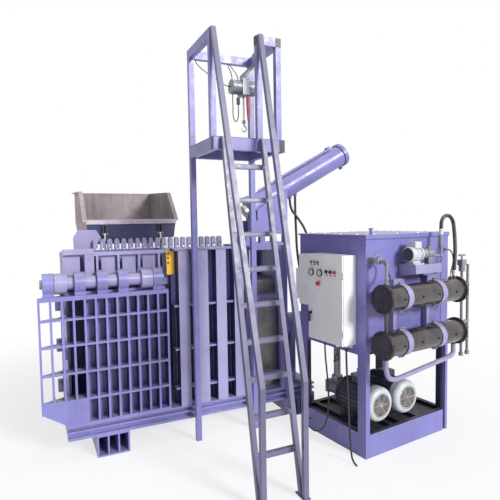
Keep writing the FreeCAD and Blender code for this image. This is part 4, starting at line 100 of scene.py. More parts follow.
class Graph:
    """The nodes of one material or sky, laid down one after another."""

    def __init__(self, owner: bpy.types.Material | bpy.types.World) -> None:
        """Start an empty set of nodes.

        Args:
            owner: the material or the sky that they belong to.
        """
        owner.use_nodes = True
        self.owner = owner
        self.tree = owner.node_tree
        self.tree.nodes.clear()

    def feed(self, socket: Socket, value: object) -> None:
        """Give a socket a number, a colour or another node's output.

        Args:
            socket: the input.
            value: what goes into it.
        """
        if isinstance(value, Socket):
            self.tree.links.new(value, socket)
        elif socket.type == "RGBA":
            socket.default_value = (*value, 1.0)
        else:
            socket.default_value = value

    def add(self, kind: str, inputs: dict[int | str, object] | None = None,
            **settings: object) -> bpy.types.Node:
        """Lay down one node and feed it.

        Args:
            kind: the node's type.
            inputs: what goes into its inputs, by their names or places.
            settings: properties to set on it.

        Returns:
            The node.
        """
        node = self.tree.nodes.new(kind)
        for key, value in settings.items():
            setattr(node, key, value)
        for key, value in (inputs or {}).items():
            self.feed(node.inputs[key], value)
        return node

    def work(self, kind: str, first: object, second: object) -> Socket:
        """Two values put together by an operation, such as MULTIPLY."""
        return self.add("ShaderNodeMath", {0: first, 1: second}, operation=kind).outputs[0]

    def mix(self, share: object, first: object, second: object) -> Socket:
        """One colour turned into a second by a share of it."""
        return self.add("ShaderNodeMix", {0: share, 6: first, 7: second}, data_type="RGBA").outputs[2]

    def span(self, value: object, low: float, high: float, start: float = 0.0, end: float = 1.0) -> Socket:
        """A value taken smoothly from between low and high to between start and end."""
        return self.add("ShaderNodeMapRange", {0: value, 1: low, 2: high, 3: start, 4: end},
                        interpolation_type="SMOOTHSTEP").outputs["Result"]

    def seen(self) -> Socket:
        """Where rays come from the camera, straight, by a mirror or through glass.

        Returns:
            1 for such a ray and 0 for the light that falls on the baler.
        """
        path = self.add("ShaderNodeLightPath").outputs
        straight = self.work("MAXIMUM", path["Is Camera Ray"], path["Is Glossy Ray"])
        return self.work("MAXIMUM", straight, path["Is Transmission Ray"])


class Surface(Graph):
    """The nodes of one material, with the patterns that finishes are made of."""

    def __init__(self, name: str) -> None:
        """Start a plain material.

        Args:
            name: the material's name.
        """
        super().__init__(bpy.data.materials.new(name))
        coordinates = self.add("ShaderNodeTexCoord").outputs
        self.place, self.facing = coordinates["Object"], coordinates["Normal"]
        self.shader = self.add("ShaderNodeBsdfPrincipled")
        self.output = self.add("ShaderNodeOutputMaterial", {"Surface": self.shader.outputs[0]})

    def noise(self, scale: float, detail: float = 4.0, rough: float = 0.55,
              stretch: Point | None = None) -> Socket:
        """Cloudy noise from 0 to 1.

        Args:
            scale: clouds in a metre.
            detail: how many finer layers lie on the first one.
            rough: how strong those layers are.
            stretch: how much finer it is along X, Y and Z.

        Returns:
            The noise.
        """
        place = self.place
        if stretch:
            place = self.add("ShaderNodeMapping", {"Vector": place, "Scale": stretch}).outputs["Vector"]
        return self.add("ShaderNodeTexNoise", {"Vector": place, "Scale": scale, "Detail": detail,
                                               "Roughness": rough}).outputs["Fac"]

    def upward(self) -> Socket:
        """How far a face looks up."""
        parts = self.add("ShaderNodeSeparateXYZ", {0: self.facing})
        return self.span(parts.outputs["Z"], 0.55, 0.95)

    def edges(self, radius: float) -> Socket:
        """Where outer and inner edges are.

        Args:
            radius: how wide a band each edge has, in metres.

        Returns:
            1 on an edge and 0 away from it.
        """
        bevel = self.add("ShaderNodeBevel", {"Radius": radius}, samples=3)
        plain = self.add("ShaderNodeNewGeometry")
        turned = self.add("ShaderNodeVectorMath", {0: bevel.outputs[0], 1: plain.outputs["Normal"]},
                          operation="DOT_PRODUCT")
        return self.span(turned.outputs["Value"], 0.995, 0.80)

    def bump(self, height: Socket, distance: float) -> None:
        """Raise the surface by a pattern, on top of what raises it already.

        Args:
            height: the pattern.
            distance: how high it stands, in metres.
        """
        node = self.add("ShaderNodeBump", {"Strength": 1.0, "Distance": distance, "Height": height})
        normal = self.shader.inputs["Normal"]
        if normal.links:
            self.feed(node.inputs["Normal"], normal.links[0].from_socket)
        self.feed(normal, node.outputs["Normal"])


@dataclass(frozen=True)
class Finish:
    """How a surface looks, layer by layer: colour, patches, runs, dust, edge wear that is also painted edge
    highlight, stains and grain.
    """
    name: str
    slot: Slot
    colour: Colour
    rough: float = 0.42
    metal: float = 0.0
    patch: float = 0.16
    patch_scale: float = 1.7
    runs: float = 0.0
    dust: float = 0.0
    dust_colour: Colour = (0.30, 0.28, 0.27)
    # lighter colour on the edges: real edge wear, and also painted highlight along the edges
    edge_wear_and_highlight: float = 0.0
    edge_wear_and_highlight_colour: Colour = (0.55, 0.55, 0.60)
    edge_band_width: float = 0.006
    stain: float = 0.0
    stain_colour: Colour = (0.10, 0.055, 0.035)
    grain: float = 0.0003
    grain_scale: float = 260.0
    ripple: float = 0.0
    weave: float = 0.0
    coat: float = 0.0

    def shaded(self, share: float) -> Colour:
        """The finish's colour, darker or lighter by a share."""
        return tuple(min(1.0, channel * share) for channel in self.colour)

    def material(self) -> bpy.types.Material:
        """The finish as a material, made once.

        Returns:
            The material.
        """
        label = self.name + "_look"
        made = bpy.data.materials.get(label)
        if made:
            return made
        graph = Surface(label)
        shade = graph.span(graph.noise(self.patch_scale, 6.0, 0.6), 0.30, 0.70)
        colour = graph.mix(shade, self.shaded(1.0 - self.patch), self.shaded(1.0 + self.patch * 0.6))
        rough = graph.span(graph.noise(self.patch_scale * 7.0, 5.0, 0.65), 0.25, 0.75,
                           max(0.03, self.rough - 0.09), min(1.0, self.rough + 0.11))
        if self.runs:
            runs = graph.span(graph.noise(1.0, 5.0, 0.62, (22.0, 22.0, 1.1)), 0.48, 0.78, 0.0, self.runs)
            colour = graph.mix(runs, colour, self.shaded(0.45))
        if self.stain:
            blot = graph.span(graph.noise(self.patch_scale * 3.1, 9.0, 0.72), 0.55, 0.70, 0.0, self.stain)
            fine = graph.span(graph.noise(55.0, 6.0, 0.7), 0.35, 0.62)
            blot = graph.work("MULTIPLY", blot, fine)
            colour = graph.mix(blot, colour, self.stain_colour)
            rough = graph.work("MAXIMUM", rough, graph.work("MULTIPLY", blot, 0.85))
        if self.dust:
            settled = graph.span(graph.noise(9.0, 7.0, 0.65), 0.30, 0.72, 0.25, 1.0)
            settled = graph.work("MULTIPLY", graph.work("MULTIPLY", graph.upward(), settled), self.dust)
            colour = graph.mix(settled, colour, self.dust_colour)
            rough = graph.work("MAXIMUM", rough, graph.work("MULTIPLY", settled, 0.9))
        # edges turned to a lighter colour: worn paint, and painted highlight along the edges as well
        if self.edge_wear_and_highlight:
            worn_and_lit = graph.work("MULTIPLY", graph.edges(self.edge_band_width),
                              graph.span(graph.noise(38.0, 6.0, 0.7), 0.38, 0.66, 0.15, 1.0))
            colour = graph.mix(graph.work("MULTIPLY", worn_and_lit, self.edge_wear_and_highlight), colour, self.edge_wear_and_highlight_colour)
        for name, value in (("Base Color", colour), ("Roughness", rough), ("Metallic", self.metal),
                            ("Coat Weight", self.coat), ("Coat Roughness", 0.12)):
            graph.feed(graph.shader.inputs[name], value)
        if self.ripple:
            graph.bump(graph.noise(3.2, 2.0, 0.5), self.ripple)
        if self.weave:
            waves = [graph.add("ShaderNodeTexWave", {"Vector": graph.place, "Scale": self.weave},
                               wave_type="BANDS", bands_direction=way).outputs["Fac"]
                     for way in ("DIAGONAL", "Z")]
            graph.bump(graph.work("MAXIMUM", *waves), 0.0006)
        graph.bump(graph.noise(self.grain_scale, 3.0, 0.6), self.grain)
        return graph.owner


# the lighter lilac on the edges is painted edge highlight as well as wear
LILAC = Finish("lilac_paint", Slot.LILAC, (0.190, 0.182, 0.440), 0.36, patch=0.18, runs=0.30, dust=0.60,
               edge_wear_and_highlight=0.75, stain=0.40, ripple=0.0030, edge_wear_and_highlight_colour=(0.42, 0.42, 0.66), edge_band_width=0.005)
# painted light: a lighter copy of the lilac paint for faces and parts that stand in the light
PAINTED_LIGHT_LILAC = Finish("lilac_painted_light", Slot.LILAC, (0.288, 0.266, 0.450), 0.34, patch=0.14, runs=0.25,
                dust=0.45, edge_wear_and_highlight=0.80, stain=0.30, ripple=0.0024, edge_wear_and_highlight_colour=(0.60, 0.60, 0.76))
# painted shade: a near-black copy of the lilac paint for the ribs' sides and the deep plates between them
PAINTED_SHADE_RECESS = Finish("recess_painted_shade", Slot.LILAC, (0.022, 0.023, 0.080), 0.50, patch=0.40, runs=0.60, dust=0.30,
               stain=0.60, ripple=0.003)
CLIMB = Finish("ladder_paint", Slot.LILAC, (0.130, 0.122, 0.215), 0.40, patch=0.20, runs=0.20, dust=0.35,
               edge_wear_and_highlight=0.75, stain=0.50, edge_wear_and_highlight_colour=(0.45, 0.44, 0.56), edge_band_width=0.004)
TANK = Finish("tank_paint", Slot.TANK, (0.180, 0.170, 0.430), 0.33, patch=0.12, runs=0.20, dust=0.45,
              edge_wear_and_highlight=0.65, stain=0.28, ripple=0.0024, edge_wear_and_highlight_colour=(0.50, 0.49, 0.74))
# painted shade: a near-black copy of the tank paint for the open space under the tank
SHADE = Finish("skid_painted_shade", Slot.TANK, (0.022, 0.021, 0.050), 0.55, patch=0.35, runs=0.4, dust=0.55,
               dust_colour=(0.05, 0.045, 0.045), stain=0.7)
# painted shade: a near-black copy of the lilac paint for the hopper's outside and the deck, with dust,
# stains and worn edges on top
PAINTED_SHADE_NAVY = Finish("painted_shade_navy", Slot.LILAC, (0.018, 0.020, 0.085), 0.42, patch=0.40, runs=0.55,
              dust=0.4, edge_wear_and_highlight=0.6, stain=0.60, ripple=0.003, edge_wear_and_highlight_colour=(0.24, 0.24, 0.36))
RUST = Finish("worn_tray_steel", Slot.STEEL, (0.330, 0.280, 0.292), 0.55, 0.10, patch=0.30, runs=0.55,
              dust=0.25, edge_wear_and_highlight=0.5, stain=0.55, patch_scale=2.2, ripple=0.004,
              edge_wear_and_highlight_colour=(0.42, 0.40, 0.40))
STEEL = Finish("bare_steel", Slot.STEEL, (0.33, 0.32, 0.32), 0.42, 0.85, patch=0.22, stain=0.35, edge_wear_and_highlight=0.3,
               patch_scale=9.0)
ZINC = Finish("zinc_bolts", Slot.STEEL, (0.52, 0.51, 0.47), 0.36, 0.9, patch=0.2, patch_scale=30.0)
OILED = Finish("dark_bolts", Slot.STEEL, (0.045, 0.043, 0.045), 0.35, 0.7, patch=0.3, patch_scale=30.0)
WELD = Finish("painted_weld", Slot.LILAC, (0.180, 0.175, 0.460), 0.34, patch=0.2, patch_scale=20.0,
              grain=0.0006, dust=0.3)
TANK_WELD = Finish("tank_weld", Slot.TANK, (0.215, 0.205, 0.540), 0.34, patch=0.2, patch_scale=20.0,
                   grain=0.0006, dust=0.3)
CHROME = Finish("chrome_rod", Slot.CHROME, (0.74, 0.75, 0.77), 0.12, 1.0, patch=0.06, patch_scale=14.0,
                grain=0.0, stain=0.05)
YELLOW = Finish("yellow_paint", Slot.YELLOW, (0.86, 0.50, 0.035), 0.42, patch=0.22, patch_scale=9.0,
                runs=0.35, edge_wear_and_highlight=0.6, edge_wear_and_highlight_colour=(0.30, 0.22, 0.15), stain=0.35)
BLACK = Finish("black_plastic", Slot.BLACK, (0.018, 0.018, 0.020), 0.45, patch=0.25, patch_scale=20.0,
               dust=0.25, grain_scale=700.0)
HOIST = Finish("hoist_metal", Slot.HOIST, (0.270, 0.285, 0.315), 0.38, 0.25, patch=0.18, patch_scale=16.0,
               edge_wear_and_highlight=0.6, grain_scale=500.0, stain=0.25)
CLOTH = Finish("pink_cloth", Slot.CLOTH, (0.66, 0.185, 0.250), 0.9, patch=0.25, patch_scale=22.0,
               weave=220.0, grain_scale=900.0, stain=0.2)
RUBBER = Finish("black_rubber", Slot.RUBBER, (0.016, 0.016, 0.017), 0.50, patch=0.3, patch_scale=14.0,
                dust=0.35, grain_scale=420.0)
# the lighter colour on the cooler's edges is painted highlight as well as wear
COOLER = Finish("cooler_shell", Slot.COOLER, (0.046, 0.036, 0.039), 0.20, patch=0.60, patch_scale=8.0,
                stain=0.7, stain_colour=(0.008, 0.006, 0.008), edge_wear_and_highlight=0.35, edge_wear_and_highlight_colour=(0.20, 0.16, 0.16),
                coat=0.4, ripple=0.001)
MOTOR = Finish("motor_grey", Slot.MOTOR, (0.50, 0.54, 0.56), 0.42, patch=0.16, patch_scale=6.0, dust=0.5,
               edge_wear_and_highlight=0.4, grain=0.0005, grain_scale=200.0, dust_colour=(0.32, 0.28, 0.26))
# painted shade: the motor cases behind the fan covers are dark, though the motors are grey
PAINTED_SHADE_CASE = Finish("motor_case_painted_shade", Slot.MOTOR, (0.055, 0.060, 0.085), 0.45, patch=0.25, patch_scale=8.0, dust=0.5,
              grain=0.0005, grain_scale=200.0)
ROUTED = Finish("looped_hose", Slot.RUBBER, (0.030, 0.020, 0.018), 0.42, patch=0.6, patch_scale=3.0,
                dust=0.35, stain=0.9, stain_colour=(0.26, 0.13, 0.09), grain_scale=420.0)
EDGE = Finish("pale_rim", Slot.LILAC, (0.52, 0.47, 0.56), 0.42, patch=0.30, patch_scale=9.0, runs=0.3,
              stain=0.5, edge_wear_and_highlight=0.6, edge_wear_and_highlight_colour=(0.85, 0.82, 0.84))
SIDE = Finish("worn_tray_side", Slot.STEEL, (0.44, 0.32, 0.30), 0.55, 0.10, patch=0.35, patch_scale=5.0,
              runs=0.5, stain=0.5, ripple=0.003)
GRILLE = Finish("dusty_grille", Slot.MOTOR, (0.30, 0.27, 0.27), 0.60, patch=0.35, patch_scale=14.0,
                dust=0.6, stain=0.5, stain_colour=(0.14, 0.09, 0.08), grain=0.0005)
PUMP = Finish("pump_metal", Slot.PUMP, (0.235, 0.245, 0.285), 0.48, 0.4, patch=0.22, patch_scale=12.0,
              dust=0.35, grain=0.0007, grain_scale=170.0, stain=0.25)
FAN = Finish("fan_plastic", Slot.FAN, (0.045, 0.047, 0.052), 0.5, patch=0.2, patch_scale=18.0, dust=0.4)
CABINET = Finish("cabinet_paint", Slot.CABINET, (0.84, 0.82, 0.80), 0.44, patch=0.06, patch_scale=2.6,
                 runs=0.12, dust=0.3, edge_wear_and_highlight=0.25, stain=0.12, grain_scale=520.0,
                 edge_wear_and_highlight_colour=(0.86, 0.86, 0.86))
DIAL = Finish("meter_dial", Slot.METER, (0.80, 0.79, 0.74), 0.30, patch=0.05, patch_scale=30.0, coat=0.4)
BEZEL = Finish("meter_rim", Slot.METER, (0.020, 0.020, 0.024), 0.28, patch=0.2, patch_scale=30.0, coat=0.5)
RED = Finish("red_plastic", Slot.RED, (0.62, 0.03, 0.03), 0.32, patch=0.12, patch_scale=30.0, coat=0.3)
GREEN = Finish("green_lens", Slot.METER, (0.04, 0.42, 0.14), 0.18, patch=0.1, patch_scale=40.0, coat=0.6)
AMBER = Finish("amber_lens", Slot.METER, (0.80, 0.42, 0.05), 0.18, patch=0.1, patch_scale=40.0, coat=0.6)
PALE = Finish("pale_sleeve", Slot.STEEL, (0.62, 0.60, 0.60), 0.38, 0.5, patch=0.2, patch_scale=40.0,
              stain=0.3)
BRASS = Finish("brass_fitting", Slot.STEEL, (0.55, 0.38, 0.13), 0.32, 0.95, patch=0.2, patch_scale=40.0)


def basis(axis: Point) -> tuple[Vector, Vector, Vector]:
    """Two directions across an axis, and the axis itself.

    Args:
        axis: the direction to build on.

    Returns:
        Two unit vectors square to the axis and each other, then the unit axis.
    """
    along = Vector(axis).normalized()
    helper = UP if abs(along.z) < 0.9 else RIGHT
    first = helper.cross(along).normalized()
    return first, along.cross(first), along


def circle(middle: Point, first: Vector, second: Vector, radius: float, count: int,
           turn: float = 0.0) -> list[Vector]:
    """Points round a circle.

    Args:
        middle: its middle.
        first: where its first point lies, seen from the middle.
        second: the direction that it turns towards.
        radius: its radius.
        count: how many points it has.
        turn: how far it is turned, in radians.

    Returns:
        The points in order.
    """
    angles = [turn + 2 * pi * k / count for k in range(count)]
    return [Vector(middle) + (first * cos(angle) + second * sin(angle)) * radius for angle in angles]


def centreline(curve: bpy.types.Curve) -> list[Vector]:
    """The points along a curve's own line.

    Args:
        curve: the curve's data.

    Returns:
        Its points in order.
    """
    bare = curve.copy()
    bare.bevel_depth = 0.0
    carrier = bpy.data.objects.new("line_reading", bare)
    mesh = bpy.data.meshes.new_from_object(carrier)
    points = [vertex.co.copy() for vertex in mesh.vertices]
    bpy.data.objects.remove(carrier)
    bpy.data.meshes.remove(mesh)
    bpy.data.curves.remove(bare)
    return points


def link(name: str, data: bpy.types.ID) -> bpy.types.Object:
    """Put data in the scene as an object.

    Args:
        name: the object's name.
        data: its mesh, curve, light or camera.

    Returns:
        The object.
    """
    made = bpy.data.objects.new(name, data)
    bpy.context.scene.collection.objects.link(made)
    return made


class Maker:
    """Collects small shapes into one mesh piece."""

    def __init__(self, name: str) -> None:
        """Start an empty piece.

        Args:
            name: the piece's name.
        """
        self.name = name
        self.form = bmesh.new()

    def rings(self, rows: list[list[Vector]], closed: bool = False) -> None:
        """Skin a row of equal rings, filled at its two ends unless it is closed.

        Args:
            rows: the rings, each a list of points.
            closed: whether the last ring joins the first.
        """
        made = [[self.form.verts.new(point) for point in row] for row in rows]
        count = len(rows[0])
        for lower, upper in list(zip(made, made[1:])) + ([(made[-1], made[0])] if closed else []):
            for index in range(count):
                after = (index + 1) % count
                self.form.faces.new((lower[index], lower[after], upper[after], upper[index]))
        if not closed:
            self.form.faces.new(list(reversed(made[0])))
            self.form.faces.new(made[-1])

    def lathe(self, base: Point, axis: Point, profile: Iterable[Pair], sides: int = 16,
              turn: float = 0.0) -> None:
        """Turn an outline about an axis.

        Args:
            base: where the axis starts.
            axis: its direction.
            profile: radius and height of each step.
            sides: how many sides the turned shape has.
            turn: how far it is turned about its axis, in radians.
        """
        first, second, along = basis(axis)
        self.rings([circle(Vector(base) + along * height, first, second, radius, sides, turn)
                    for radius, height in profile])

    def sweep(self, points: Sequence[Point], radius: float | Sequence[float], sides: int = 8,
              closed: bool = False, ripple: float = 0.0) -> None:
        """A round bar along a line of points.

        Args:
            points: the line.
            radius: the bar's radius, or one for each point where it tapers.
            sides: how many sides it has.
            closed: whether it joins itself.
            ripple: how much every other ring shrinks, as in a weld bead.
        """
        line = [Vector(p) for p in points]
        count = len(line)
        first = basis(line[1] - line[0])[0]
        rows = []
        for index, here in enumerate(line):
            before = line[index - 1] if index or closed else here
            after = line[(index + 1) % count] if index < count - 1 or closed else here
            along = (after - before).normalized()
            first = (first - along * first.dot(along)).normalized()
            size = (radius if isinstance(radius, float) else radius[index]) * (1.0 - ripple * (index % 2))
            rows.append(circle(here, first, along.cross(first), size, sides))
        self.rings(rows, closed)

    def weld(self, start: Point, end: Point, size: float = 0.004) -> None:
        """A weld bead between two points, with the ripples of its passes.

        Args:
            start: one end.
            end: the other.
            size: the bead's radius.
        """
        a, b = Vector(start), Vector(end)
        steps = max(3, int((b - a).length / 0.011))
        self.sweep([a.lerp(b, k / steps) for k in range(steps + 1)], size, 6, ripple=0.24)

    def slab(self, low: Point, high: Point, ease: float, place: Matrix) -> None:
        """A block with eased edges.

        Args:
            low: its lowest corner.
            high: its highest corner.
            ease: how far its edges are rounded.
            place: the frame that its corners are given in.
        """
        made = bmesh.ops.create_cube(self.form, size=1.0)["verts"]
        a, b = Vector(low), Vector(high)
        for vertex in made:
            vertex.co = Vector((a[i] if vertex.co[i] < 0 else b[i] for i in range(3)))
        edges = list({edge for vertex in made for edge in vertex.link_edges})
        result = bmesh.ops.bevel(self.form, geom=edges, offset=ease, segments=2, profile=0.5, affect="EDGES")
        for vertex in set(result["verts"]) | {v for v in made if v.is_valid}:
            vertex.co = place @ vertex.co

    def bolt(self, base: Point, axis: Point, across: float, washer: bool = True) -> None:
        """A hexagon bolt head on its washer.

        Args:
            base: the middle of the seat.
            axis: which way it stands out.
            across: the head's size across its flats.
            washer: whether there is a washer under it.
        """
        lift = across * 0.12 if washer else 0.0
        if washer:
            wide = across * 0.74
            self.lathe(base, axis, ((across * 0.72, 0.0), (wide, lift * 0.3), (wide, lift * 0.8),
                                    (across * 0.70, lift)), 18)
        start = Vector(base) + Vector(axis).normalized() * lift
        corner = across * 0.577
        self.lathe(start, axis, ((corner, 0.0), (corner, across * 0.52), (corner * 0.86, across * 0.62)), 6,
                   turn=start.x * 37.0 + start.z * 11.0)

    def wheel(self, middle: Point, axis: Point, radius: float, size: float, steps: int,
              sides: int = 6) -> None:
        """A closed ring of round bar.

        Args:
            middle: its middle.
            axis: the direction it faces.
            radius: from its middle to the bar's middle.
            size: the bar's radius.
            steps: how many pieces the ring has.
            sides: how many sides the bar has.
        """
        first, second, _ = basis(axis)
        self.sweep(circle(middle, first, second, radius, steps), size, sides, closed=True)

    def bolt_ring(self, middle: Point, axis: Point, radius: float, count: int, across: float,
                  turn: float = 0.0) -> None:
        """A ring of bolt heads round a flange.

        Args:
            middle: the flange's middle.
            axis: which way the bolts stand out.
            radius: the ring's radius.
            count: how many bolts.
            across: each head's size.
            turn: where the first one is, as a share of the pitch.
        """
        first, second, _ = basis(axis)
        for place in circle(middle, first, second, radius, count, 2 * pi * turn / count):
            self.bolt(place, axis, across)

    def done(self, finish: Finish, body: str = "base", smooth: float = 38.0) -> bpy.types.Object:
        """Close the piece and let it ride.

        Args:
            finish: how it looks.
            body: the body that carries it.
            smooth: edges sharper than this many degrees stay sharp.

        Returns:
            The piece.
        """
        bmesh.ops.recalc_face_normals(self.form, faces=self.form.faces)
        data = bpy.data.meshes.new(self.name)
        self.form.to_mesh(data)
        self.form.free()
        return settle(data, self.name, body, finish, smooth)


def settle(data: bpy.types.Mesh, name: str, body: str, finish: Finish, smooth: float) -> bpy.types.Object:
    """Put a mesh in the scene with its finish, smooth apart from its sharp edges.

    Args:
        data: the mesh.
        name: the piece's name.
        body: the body that carries it.
        finish: how it looks.
        smooth: edges sharper than this many degrees stay sharp.

    Returns:
        The piece.
    """
    data.shade_smooth()
    data.set_sharp_from_angle(angle=radians(smooth))
    data.materials.append(finish.material())
    piece = link(name, data)
    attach(piece, body)
    LOG.info("%s rides on %s: %d faces", name, body, len(data.polygons))
    return piece


def torn(data: bpy.types.Mesh) -> bool:
    """Whether some face's outline crosses itself.

    Args:
        data: the mesh.

    Returns:
        True where a face's triangles cover more than the face.
    """
    data.calc_loop_triangles()
    cover = [0.0] * len(data.polygons)
    for triangle in data.loop_triangles:
        cover[triangle.polygon_index] += triangle.area
    return any(abs(cover[face.index] - face.area) > 1.2e-5 + 0.01 * face.area
               for face in data.polygons if len(face.vertices) > 4)


def eased(node: str, ease: float) -> bpy.types.Mesh:
    """A node's own mesh with its sharp edges rounded.

    Args:
        node: the node's name.
        ease: how far its edges are rounded, in metres.

    Returns:
        The new mesh.
    """
    form = bmesh.new()
    form.from_mesh(FRAME["nodes"][node].data)
    bmesh.ops.remove_doubles(form, verts=form.verts, dist=2e-5)
    bmesh.ops.dissolve_limit(form, angle_limit=radians(0.8), verts=form.verts, edges=form.edges)
    sharp = [edge for edge in form.edges
             if edge.is_manifold and edge.calc_face_angle(0.0) > radians(34.0) and edge.calc_length() > ease]
    if ease and sharp:
        bmesh.ops.bevel(form, geom=sharp, offset=ease, segments=2, profile=0.5, affect="EDGES",
                        clamp_overlap=False, loop_slide=True)
    bmesh.ops.recalc_face_normals(form, faces=form.faces)
    data = bpy.data.meshes.new(node + "_finished")
    form.to_mesh(data)
    form.free()
    return data


def dressed(node: str, finish: Finish, ease: float, others: Sequence[Finish] = (),
            pick: Callable[[Vector, Vector], int] | None = None) -> None:
    """A node's own shape with its sharp edges eased, in place of the node.

    Args:
        node: the node's name.
        finish: how it looks.
        ease: how far its edges are rounded at most, in metres: less where a face would tear.
        others: more finishes for some of its faces.
        pick: which finish a face has, by its middle and normal: 0 is the first.
    """
    for size in (ease, ease * 0.5, ease * 0.25, 0.0):
        data = eased(node, size)
        if not size or not torn(data):
            break
        bpy.data.meshes.remove(data)
    piece = settle(data, node + "_finished", FRAME["nodes"][node]["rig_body"], finish, 36.0)
    piece.modifiers.new("even_shading", "WEIGHTED_NORMAL").keep_sharp = True
    if pick:
        for other in others:
            data.materials.append(other.material())
        for face in data.polygons:
            face.material_index = pick(face.center, face.normal)
    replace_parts(piece, node)


def dress(finish: Finish, ease: float, *nodes: str) -> None:
    """Dress nodes that share one finish and one easing of their edges."""
    for node in nodes:
        dressed(node, finish, ease)


@dataclass(frozen=True)
class Pack:
    """The power pack's own frame: where it stands and how far it is turned."""
    x: float = 1.967
    y: float = -1.450
    turn: float = radians(7.0)

    @property
    def place(self) -> Matrix:
        """The pack's frame as a matrix."""
        return Matrix.Translation((self.x, self.y, 0.0)) @ Matrix.Rotation(self.turn, 4, "Z")

    @property
    def across(self) -> Vector:
        """The direction along the pack's front."""
        return Vector((cos(self.turn), sin(self.turn), 0.0))

    @property
    def front(self) -> Vector:
        """The direction that the pack's front faces."""
        return Vector((sin(self.turn), -cos(self.turn), 0.0))

    def at(self, u: float, v: float, z: float) -> Vector:
        """A point u along the pack's front, v behind it and z up, in the part's frame."""
        return Vector((self.x, self.y, z)) + self.across * u - self.front * v

    def local(self, point: Vector) -> Vector:
        """A point of the part in the pack's own frame."""
        return self.place.inverted() @ point


PACK = Pack()


@dataclass(frozen=True)
class Studio:
    """The floor, the lights and the camera at the photograph's angle."""
    eye: Place = (-0.613, -4.650, 2.1)
    heading: float = radians(65.0)
    pitch: float = radians(3.5)
    roll: float = radians(0.9)
    lens: float = 33.84
    target: Place = (1.0, -0.4, 1.2)
    sky: Colour = (0.93, 0.96, 1.0)
    sky_strength: float = 0.30
    floor_reach: float = 30.0
    pool: Place = (1.2, 0.0, 0.0)
    pool_edge: Pair = (2.0, 5.5)
    pool_glow: float = 0.72

    def camera(self) -> None:
        """Set the camera at eye height, a little down, looking across the press."""
        ahead = Vector((cos(self.heading), sin(self.heading), 0.0))
        side = Vector((sin(self.heading), -cos(self.heading), 0.0))
        rise = UP * cos(self.pitch) + ahead * sin(self.pitch)
        right = side * cos(self.roll) - rise * sin(self.roll)
        top = rise * cos(self.roll) + side * sin(self.roll)
        data = bpy.data.cameras.new("camera")
        data.sensor_width = 36.0
        data.lens = self.lens
        data.clip_end = 100.0
        place = Matrix((right, top, UP * sin(self.pitch) - ahead * cos(self.pitch))).transposed().to_4x4()
        place.translation = self.eye
        camera = link("camera", data)
        camera.matrix_world = place
        bpy.context.scene.camera = camera

    def light(self, name: str, kind: str, place: Place, energy: float, **settings: float) -> None:
        """One soft light that points at the middle of the baler.

        Args:
            name: the light's name.
            kind: AREA or SUN.
            place: where it hangs.
            energy: how bright it is.
            settings: its size in metres, or a sun's angle in radians.
        """
        data = bpy.data.lights.new(name, kind)
        data.energy = energy
        for key, value in settings.items():
            setattr(data, key, value)
        lamp = link(name, data)
        lamp.location = place
        lamp.rotation_euler = (Vector(self.target) - Vector(place)).to_track_quat("-Z", "Y").to_euler()

    def world(self) -> None:
        """An even pale sky that is plain white where it is seen."""
        world = bpy.data.worlds.new("studio")
        bpy.context.scene.world = world
        graph = Graph(world)
        lit = graph.add("ShaderNodeBackground", {"Color": self.sky, "Strength": self.sky_strength})
        seen = graph.add("ShaderNodeBackground", {"Color": (1.0, 1.0, 1.0), "Strength": 1.0})
        mix = graph.add("ShaderNodeMixShader", {0: graph.seen(), 1: lit.outputs[0], 2: seen.outputs[0]})
        graph.add("ShaderNodeOutputWorld", {"Surface": mix.outputs[0]})

    def floor(self) -> None:
        """A plain pale floor that turns white away from the baler."""
        form = bmesh.new()
        bmesh.ops.create_grid(form, x_segments=8, y_segments=8, size=self.floor_reach)
        data = bpy.data.meshes.new("floor")
        form.to_mesh(data)
        form.free()
        graph = Surface("pale_floor")
        shade = graph.span(graph.noise(0.8, 3.0), 0.3, 0.7)
        pale = graph.mix(shade, (0.90, 0.90, 0.90), (0.94, 0.94, 0.94))
        graph.feed(graph.shader.inputs["Base Color"], pale)
        graph.feed(graph.shader.inputs["Roughness"], 0.9)
        reach = graph.add("ShaderNodeVectorMath", {0: graph.place, 1: self.pool}, operation="DISTANCE")
        share = graph.span(reach.outputs["Value"], *self.pool_edge, self.pool_glow, 1.0)
        glow = graph.add("ShaderNodeEmission")
        mix = graph.add("ShaderNodeMixShader", {0: graph.work("MULTIPLY", share, graph.seen()),
                                                1: graph.shader.outputs[0], 2: glow.outputs[0]})
        graph.feed(graph.output.inputs["Surface"], mix.outputs[0])
        data.materials.append(graph.owner)
        floor = link("floor", data)
        floor.location.z = -0.0005

    def build(self) -> None:
        """Set up everything that isn't part of the baler."""
        self.camera()
        self.world()
        self.floor()
        self.light("key", "SUN", (4.4, -8.3, 5.0), 3.7, angle=radians(16.0))
        self.light("fill", "AREA", (-4.5, -5.0, 3.5), 60.0, size=4.0)
        self.light("top", "AREA", (1.0, -1.0, 8.0), 150.0, size=5.0)
        bpy.context.scene.view_settings.view_transform = "Standard"


@dataclass(frozen=True)
class Route:
    """One cord: its points in metres, its thickness, the node it stands for and how it lies."""
    name: str
    points: tuple[Place, ...]
    diameter: float
    node: str
    stiffness: str
    body: str = "base"
    in_pack: bool = False
    far_end: str = "object"
    finish: Finish = RUBBER

    def build(self) -> None:
        """Lay the cord as one smooth line with its thickness, in place of its node."""
        data = bpy.data.curves.new(self.name, "CURVE")
        data.dimensions = "3D"
        spline = data.splines.new("NURBS")
        spline.points.add(len(self.points) - 1)
        places = [PACK.at(*p) if self.in_pack else Vector(p) for p in self.points]
        for point, place in zip(spline.points, places):
            point.co = (*place, 1.0)
        spline.order_u = 3
        spline.use_endpoint_u = True
        spline.resolution_u = 12
        data.bevel_depth = self.diameter / 2.0
        data.bevel_resolution = 4
        data.use_fill_caps = True
        data.materials.append(self.finish.material())
        piece = link(self.name, data)
        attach(piece, self.body)
        line = centreline(data)
        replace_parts(piece, self.node)


